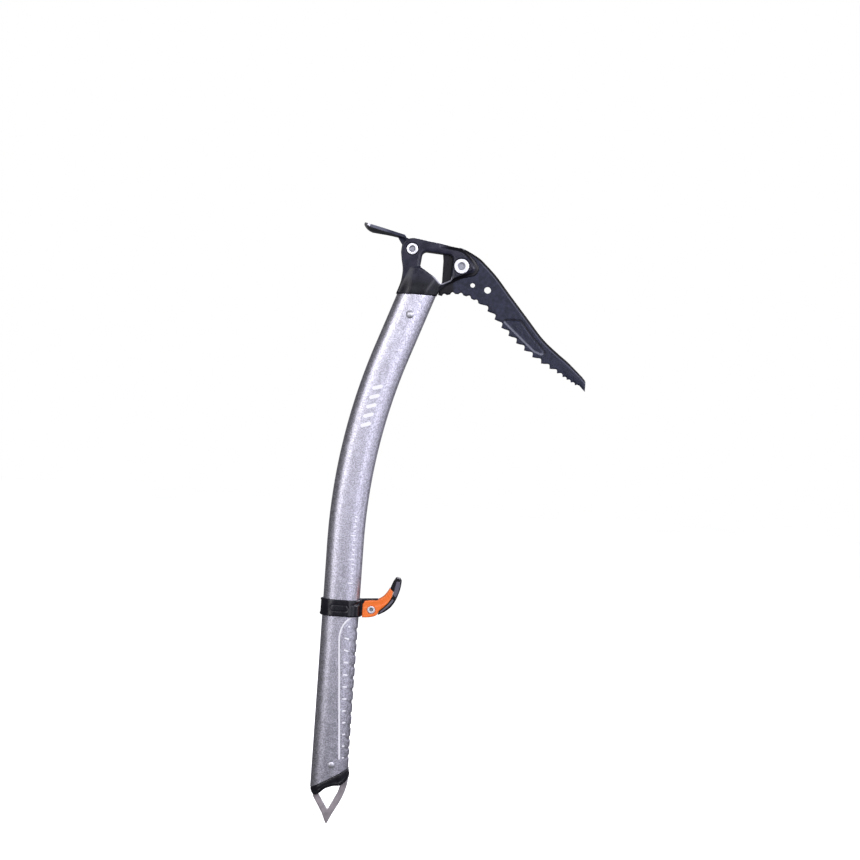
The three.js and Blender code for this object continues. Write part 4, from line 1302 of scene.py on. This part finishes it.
def lever_field(x, y, z):
    z = z - REST_Z
    side = np.abs(y)
    above = -CREASE(x, z)
    step = smoothstep(-0.2, 0.5, above) * (1 - 0.8 * smoothstep(0.5, 6.5, above))
    f = cut(LEVER(x, z), side - LEVER_HALF + 0.45 * step, 1.1)
    f = remove(f, lug_room(x, y, z))
    r, angle = about_screw(x, z)
    cam = overlap(r - 9.0, side - 2.0, np.abs(angle - 173) * 0.15 - 1.95)
    f = np.minimum(f, np.where(x - SCREW_X < -4, cam, 9.0))
    f = cut(f, -np.maximum(r - 3.85, 6.0 - side), 0.2)
    spring_room = overlap(r - 4.3, -1 - y, y - 3)
    return remove(f, r - 2.3, spring_room)


solid_piece(
    "rest_lever_moulding", lever_field, (17.6, -7, REST_Z - 7.2), (46.2, 7, REST_Z + 20),
    0.35, "lever", ["rest_lever"], ORANGE_PLASTIC,
)


def grip_field(x, y, z):
    z = z - REST_Z
    return remove(cut(GRIP(x, z), np.abs(y) - LEVER_HALF, 1.0), lug_room(x, y, z))


grip = solid_piece(
    "lever_grip_moulding", grip_field, (32, -7, REST_Z - 4.5), (52.8, 7, REST_Z + 30.2),
    (0.3, 0.35, 0.3), "lever", ["lever_grip"], RUBBER,
)


UPPER_FACET = Outline(
    [
        (45.7, 16.5), (47.8, 26.3), (50.8, 26.3), (50.9, 22.2), (49.7, 17.1), (47.9, 12.6),
        (46.8, 13.0), (45.6, 14.5),
    ]
)
LOWER_FACET = Outline(
    [
        (34.6, -1.4), (37.2, 1.2), (41.2, 5.4), (45.0, 10.5), (46.3, 9.8), (44.4, 6.5),
        (40.8, 2.6), (36.5, -1.2), (34.6, -2.2),
    ]
)


def grip_tint(x, y, z):
    """The two paler panels on each side of the grip."""
    z = z - REST_Z
    panel = np.minimum(UPPER_FACET(x, z), LOWER_FACET(x, z))
    return 0.8 * smoothstep(0.25, -0.25, panel) * (np.abs(y) > LEVER_HALF - 1.2)


tint(grip, grip_tint)

SCREW = (SCREW_X, REST_Z)
bolt_piece(
    "lever_screw_head", SCREW, 6.2, 3.35, 1.4, 2.0, 7.3, 2.3, "hand_rest", "lever_screw", 0.16
)
ring_piece("lever_screw_sleeve", SCREW, 6.2, 7.6, 3.6, 2.15, "hand_rest", "lever_screw_nut", 2)


def shoe_field(x, y, z):
    z = z - REST_Z - 0.2
    ribs = 0.2 * (0.5 + 0.5 * np.cos(2 * math.pi * z / 1.2)) * smoothstep(17.1, 16.7, x)
    return cut(np.maximum(np.abs(x - 17.1) - 0.5 + ribs, np.abs(y) - 3.6), np.abs(z) - 4.8, 0.15)


solid_piece(
    "brake_shoe_ribbed", shoe_field, (16.6, -3.6, REST_Z - 4.7), (17.6, 3.6, REST_Z + 5.1),
    (0.2, 0.3, 0.2), "hand_rest", ["brake_shoe"], STAINLESS, relax=1,
)


def make_spring():
    """The torsion spring's wire as a tube round a coil with a leg at each end."""
    turns, radius, leg, wire, sides = 2.5, 3.3, 0.08, 0.3, 10
    steps = 160
    v = []
    for i in range(steps + 1):
        t = i / steps
        share = min(max((t - leg) / (1 - 2 * leg), 0), 1)
        angle = share * turns * 2 * math.pi
        beyond = (t - leg if t < leg else max(t - 1 + leg, 0)) * 26
        out = np.array([math.cos(angle), 0, math.sin(angle)])
        ahead = np.array([-math.sin(angle), 0, math.cos(angle)])
        centre = radius * out + beyond * ahead
        centre += np.array([SCREW_X, 0.5 + (share - 0.5) * turns * 0.78, REST_Z])
        for k in range(sides):
            a = 2 * math.pi * k / sides
            v.append(centre + wire * (math.cos(a) * out + math.sin(a) * np.array([0, 1, 0])))
    faces = []
    for i in range(steps):
        for k in range(sides):
            a, b = i * sides + k, i * sides + (k + 1) % sides
            faces.append((a, a + sides, b + sides, b))
    faces.append(tuple(range(sides)))
    faces.append(tuple(range(steps * sides, (steps + 1) * sides))[::-1])
    made = mesh_object("lever_spring_wire", [tuple(p) for p in v], faces)
    made.data.materials.append(SPRING_WIRE)
    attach(made, "lever")
    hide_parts("lever_spring")


make_spring()

# ---------- Floor, light and camera ----------
n = Nodes("pale_floor")
floor_tone = n.ramp(n.noise(400, 2), 0.3, 0.7)
floor_look = n.finish(
    Base_Color=n.mix(floor_tone, (0.74, 0.74, 0.75), (0.78, 0.78, 0.79)),
    Roughness=0.9,
    Specular_IOR_Level=0.2,
    Emission_Color=n.mix(floor_tone, (0.97, 0.97, 0.98), (1.0, 1.0, 1.0)),
    Emission_Strength=0.93,
)
FLOOR_RADIUS, FLOOR_SIDES, FLOOR_DROP = 6000, 96, 0.0006
disc = [(0.0, 0.0, 0.0)]
for k in range(FLOOR_SIDES):
    a = 2 * math.pi * k / FLOOR_SIDES
    disc.append((FLOOR_RADIUS * math.cos(a), FLOOR_RADIUS * math.sin(a), 0.0))
fan = [(0, k + 1, (k + 1) % FLOOR_SIDES + 1) for k in range(FLOOR_SIDES)]
floor = mesh_object("floor", disc, fan, smooth=False)
floor.location.z = -FLOOR_DROP
floor.data.materials.append(floor_look)
floor.visible_diffuse = False
floor.visible_glossy = False


def area_light(name, place, target, size, power, colour):
    data = bpy.data.lights.new(name, "AREA")
    data.shape = "RECTANGLE"
    data.size, data.size_y = size
    data.energy = power
    data.color = colour
    made = bpy.data.objects.new(name, data)
    made.location = place
    made.rotation_euler = (Vector(target) - Vector(place)).to_track_quat("-Z", "Y").to_euler()
    bpy.context.scene.collection.objects.link(made)


# Soft boxes round the part: azimuth from the camera's side towards +X, elevation, height, watts.
MIDDLE = Vector((0.03, 0, 0.3))
LIGHT_DISTANCE, BOX_WIDTH = 1.3, 0.45
WARM, COOL = (1.0, 0.985, 1.0), (0.955, 0.945, 1.06)
SOFT_BOXES = (
    ("key_low", -35, -4, 0.38, 2.0),
    ("key", -35, 25, 0.6, 3.1),
    ("key_front", -20, 25, 0.6, 2.8),
    ("front_low", -20, -4, 0.38, 0.6),
    ("fill_low", 20, -4, 0.38, 1.6),
    ("fill", 20, 25, 0.6, 5.6),
    ("side_low", 50, -4, 0.38, 1.1),
    ("side", 50, 25, 0.6, 3.2),
    ("rim_low", 90, -4, 0.38, 0.7),
    ("rim", 90, 25, 0.6, 8.7),
    ("back", 170, 30, 0.6, 9),
)
for name, azimuth, elevation, height, watts in SOFT_BOXES:
    a, e = math.radians(azimuth), math.radians(elevation)
    away = Vector((math.sin(a) * math.cos(e), -math.cos(a) * math.cos(e), math.sin(e)))
    colour = WARM if name.startswith("key") else COOL
    area_light(name, MIDDLE + LIGHT_DISTANCE * away, MIDDLE, (BOX_WIDTH, height), watts, colour)

world = bpy.data.worlds.new("studio")
world.use_nodes = True
bpy.context.scene.world = world
tree = world.node_tree
background = tree.nodes["Background"]
background.inputs["Color"].default_value = (1, 1, 1, 1)
# The part is lit by a dim world, and the camera sees a bright one behind it.
path = tree.nodes.new("ShaderNodeLightPath")
strength = tree.nodes.new("ShaderNodeMapRange")
strength.inputs["To Min"].default_value = 0.12
strength.inputs["To Max"].default_value = 1.0
tree.links.new(path.outputs["Is Camera Ray"], strength.inputs["Value"])
tree.links.new(strength.outputs["Result"], background.inputs["Strength"])
bpy.context.scene.view_settings.view_transform = "Standard"

DISTANCE = 1.4
AIM = Vector((0.0676, 0.0, 0.353))
ROLL = math.radians(4.0)
IMAGE_PIXELS, MM_PER_PIXEL, SENSOR = 860, 0.884, 36
VIEW_WIDTH = IMAGE_PIXELS * MM_PER_PIXEL * MM
camera_data = bpy.data.cameras.new("camera")
camera_data.sensor_width = SENSOR
camera_data.lens = SENSOR * DISTANCE / VIEW_WIDTH
camera_data.clip_start = 0.05
camera = bpy.data.objects.new("camera", camera_data)
right = Vector((math.cos(ROLL), 0, math.sin(ROLL)))
up = Vector((-math.sin(ROLL), 0, math.cos(ROLL)))
back = Vector((0, -1, 0))
turn = Matrix((right, up, back)).transposed().to_4x4()
camera.matrix_world = Matrix.Translation(AIM + back * DISTANCE) @ turn
bpy.context.scene.collection.objects.link(camera)
bpy.context.scene.camera = camera
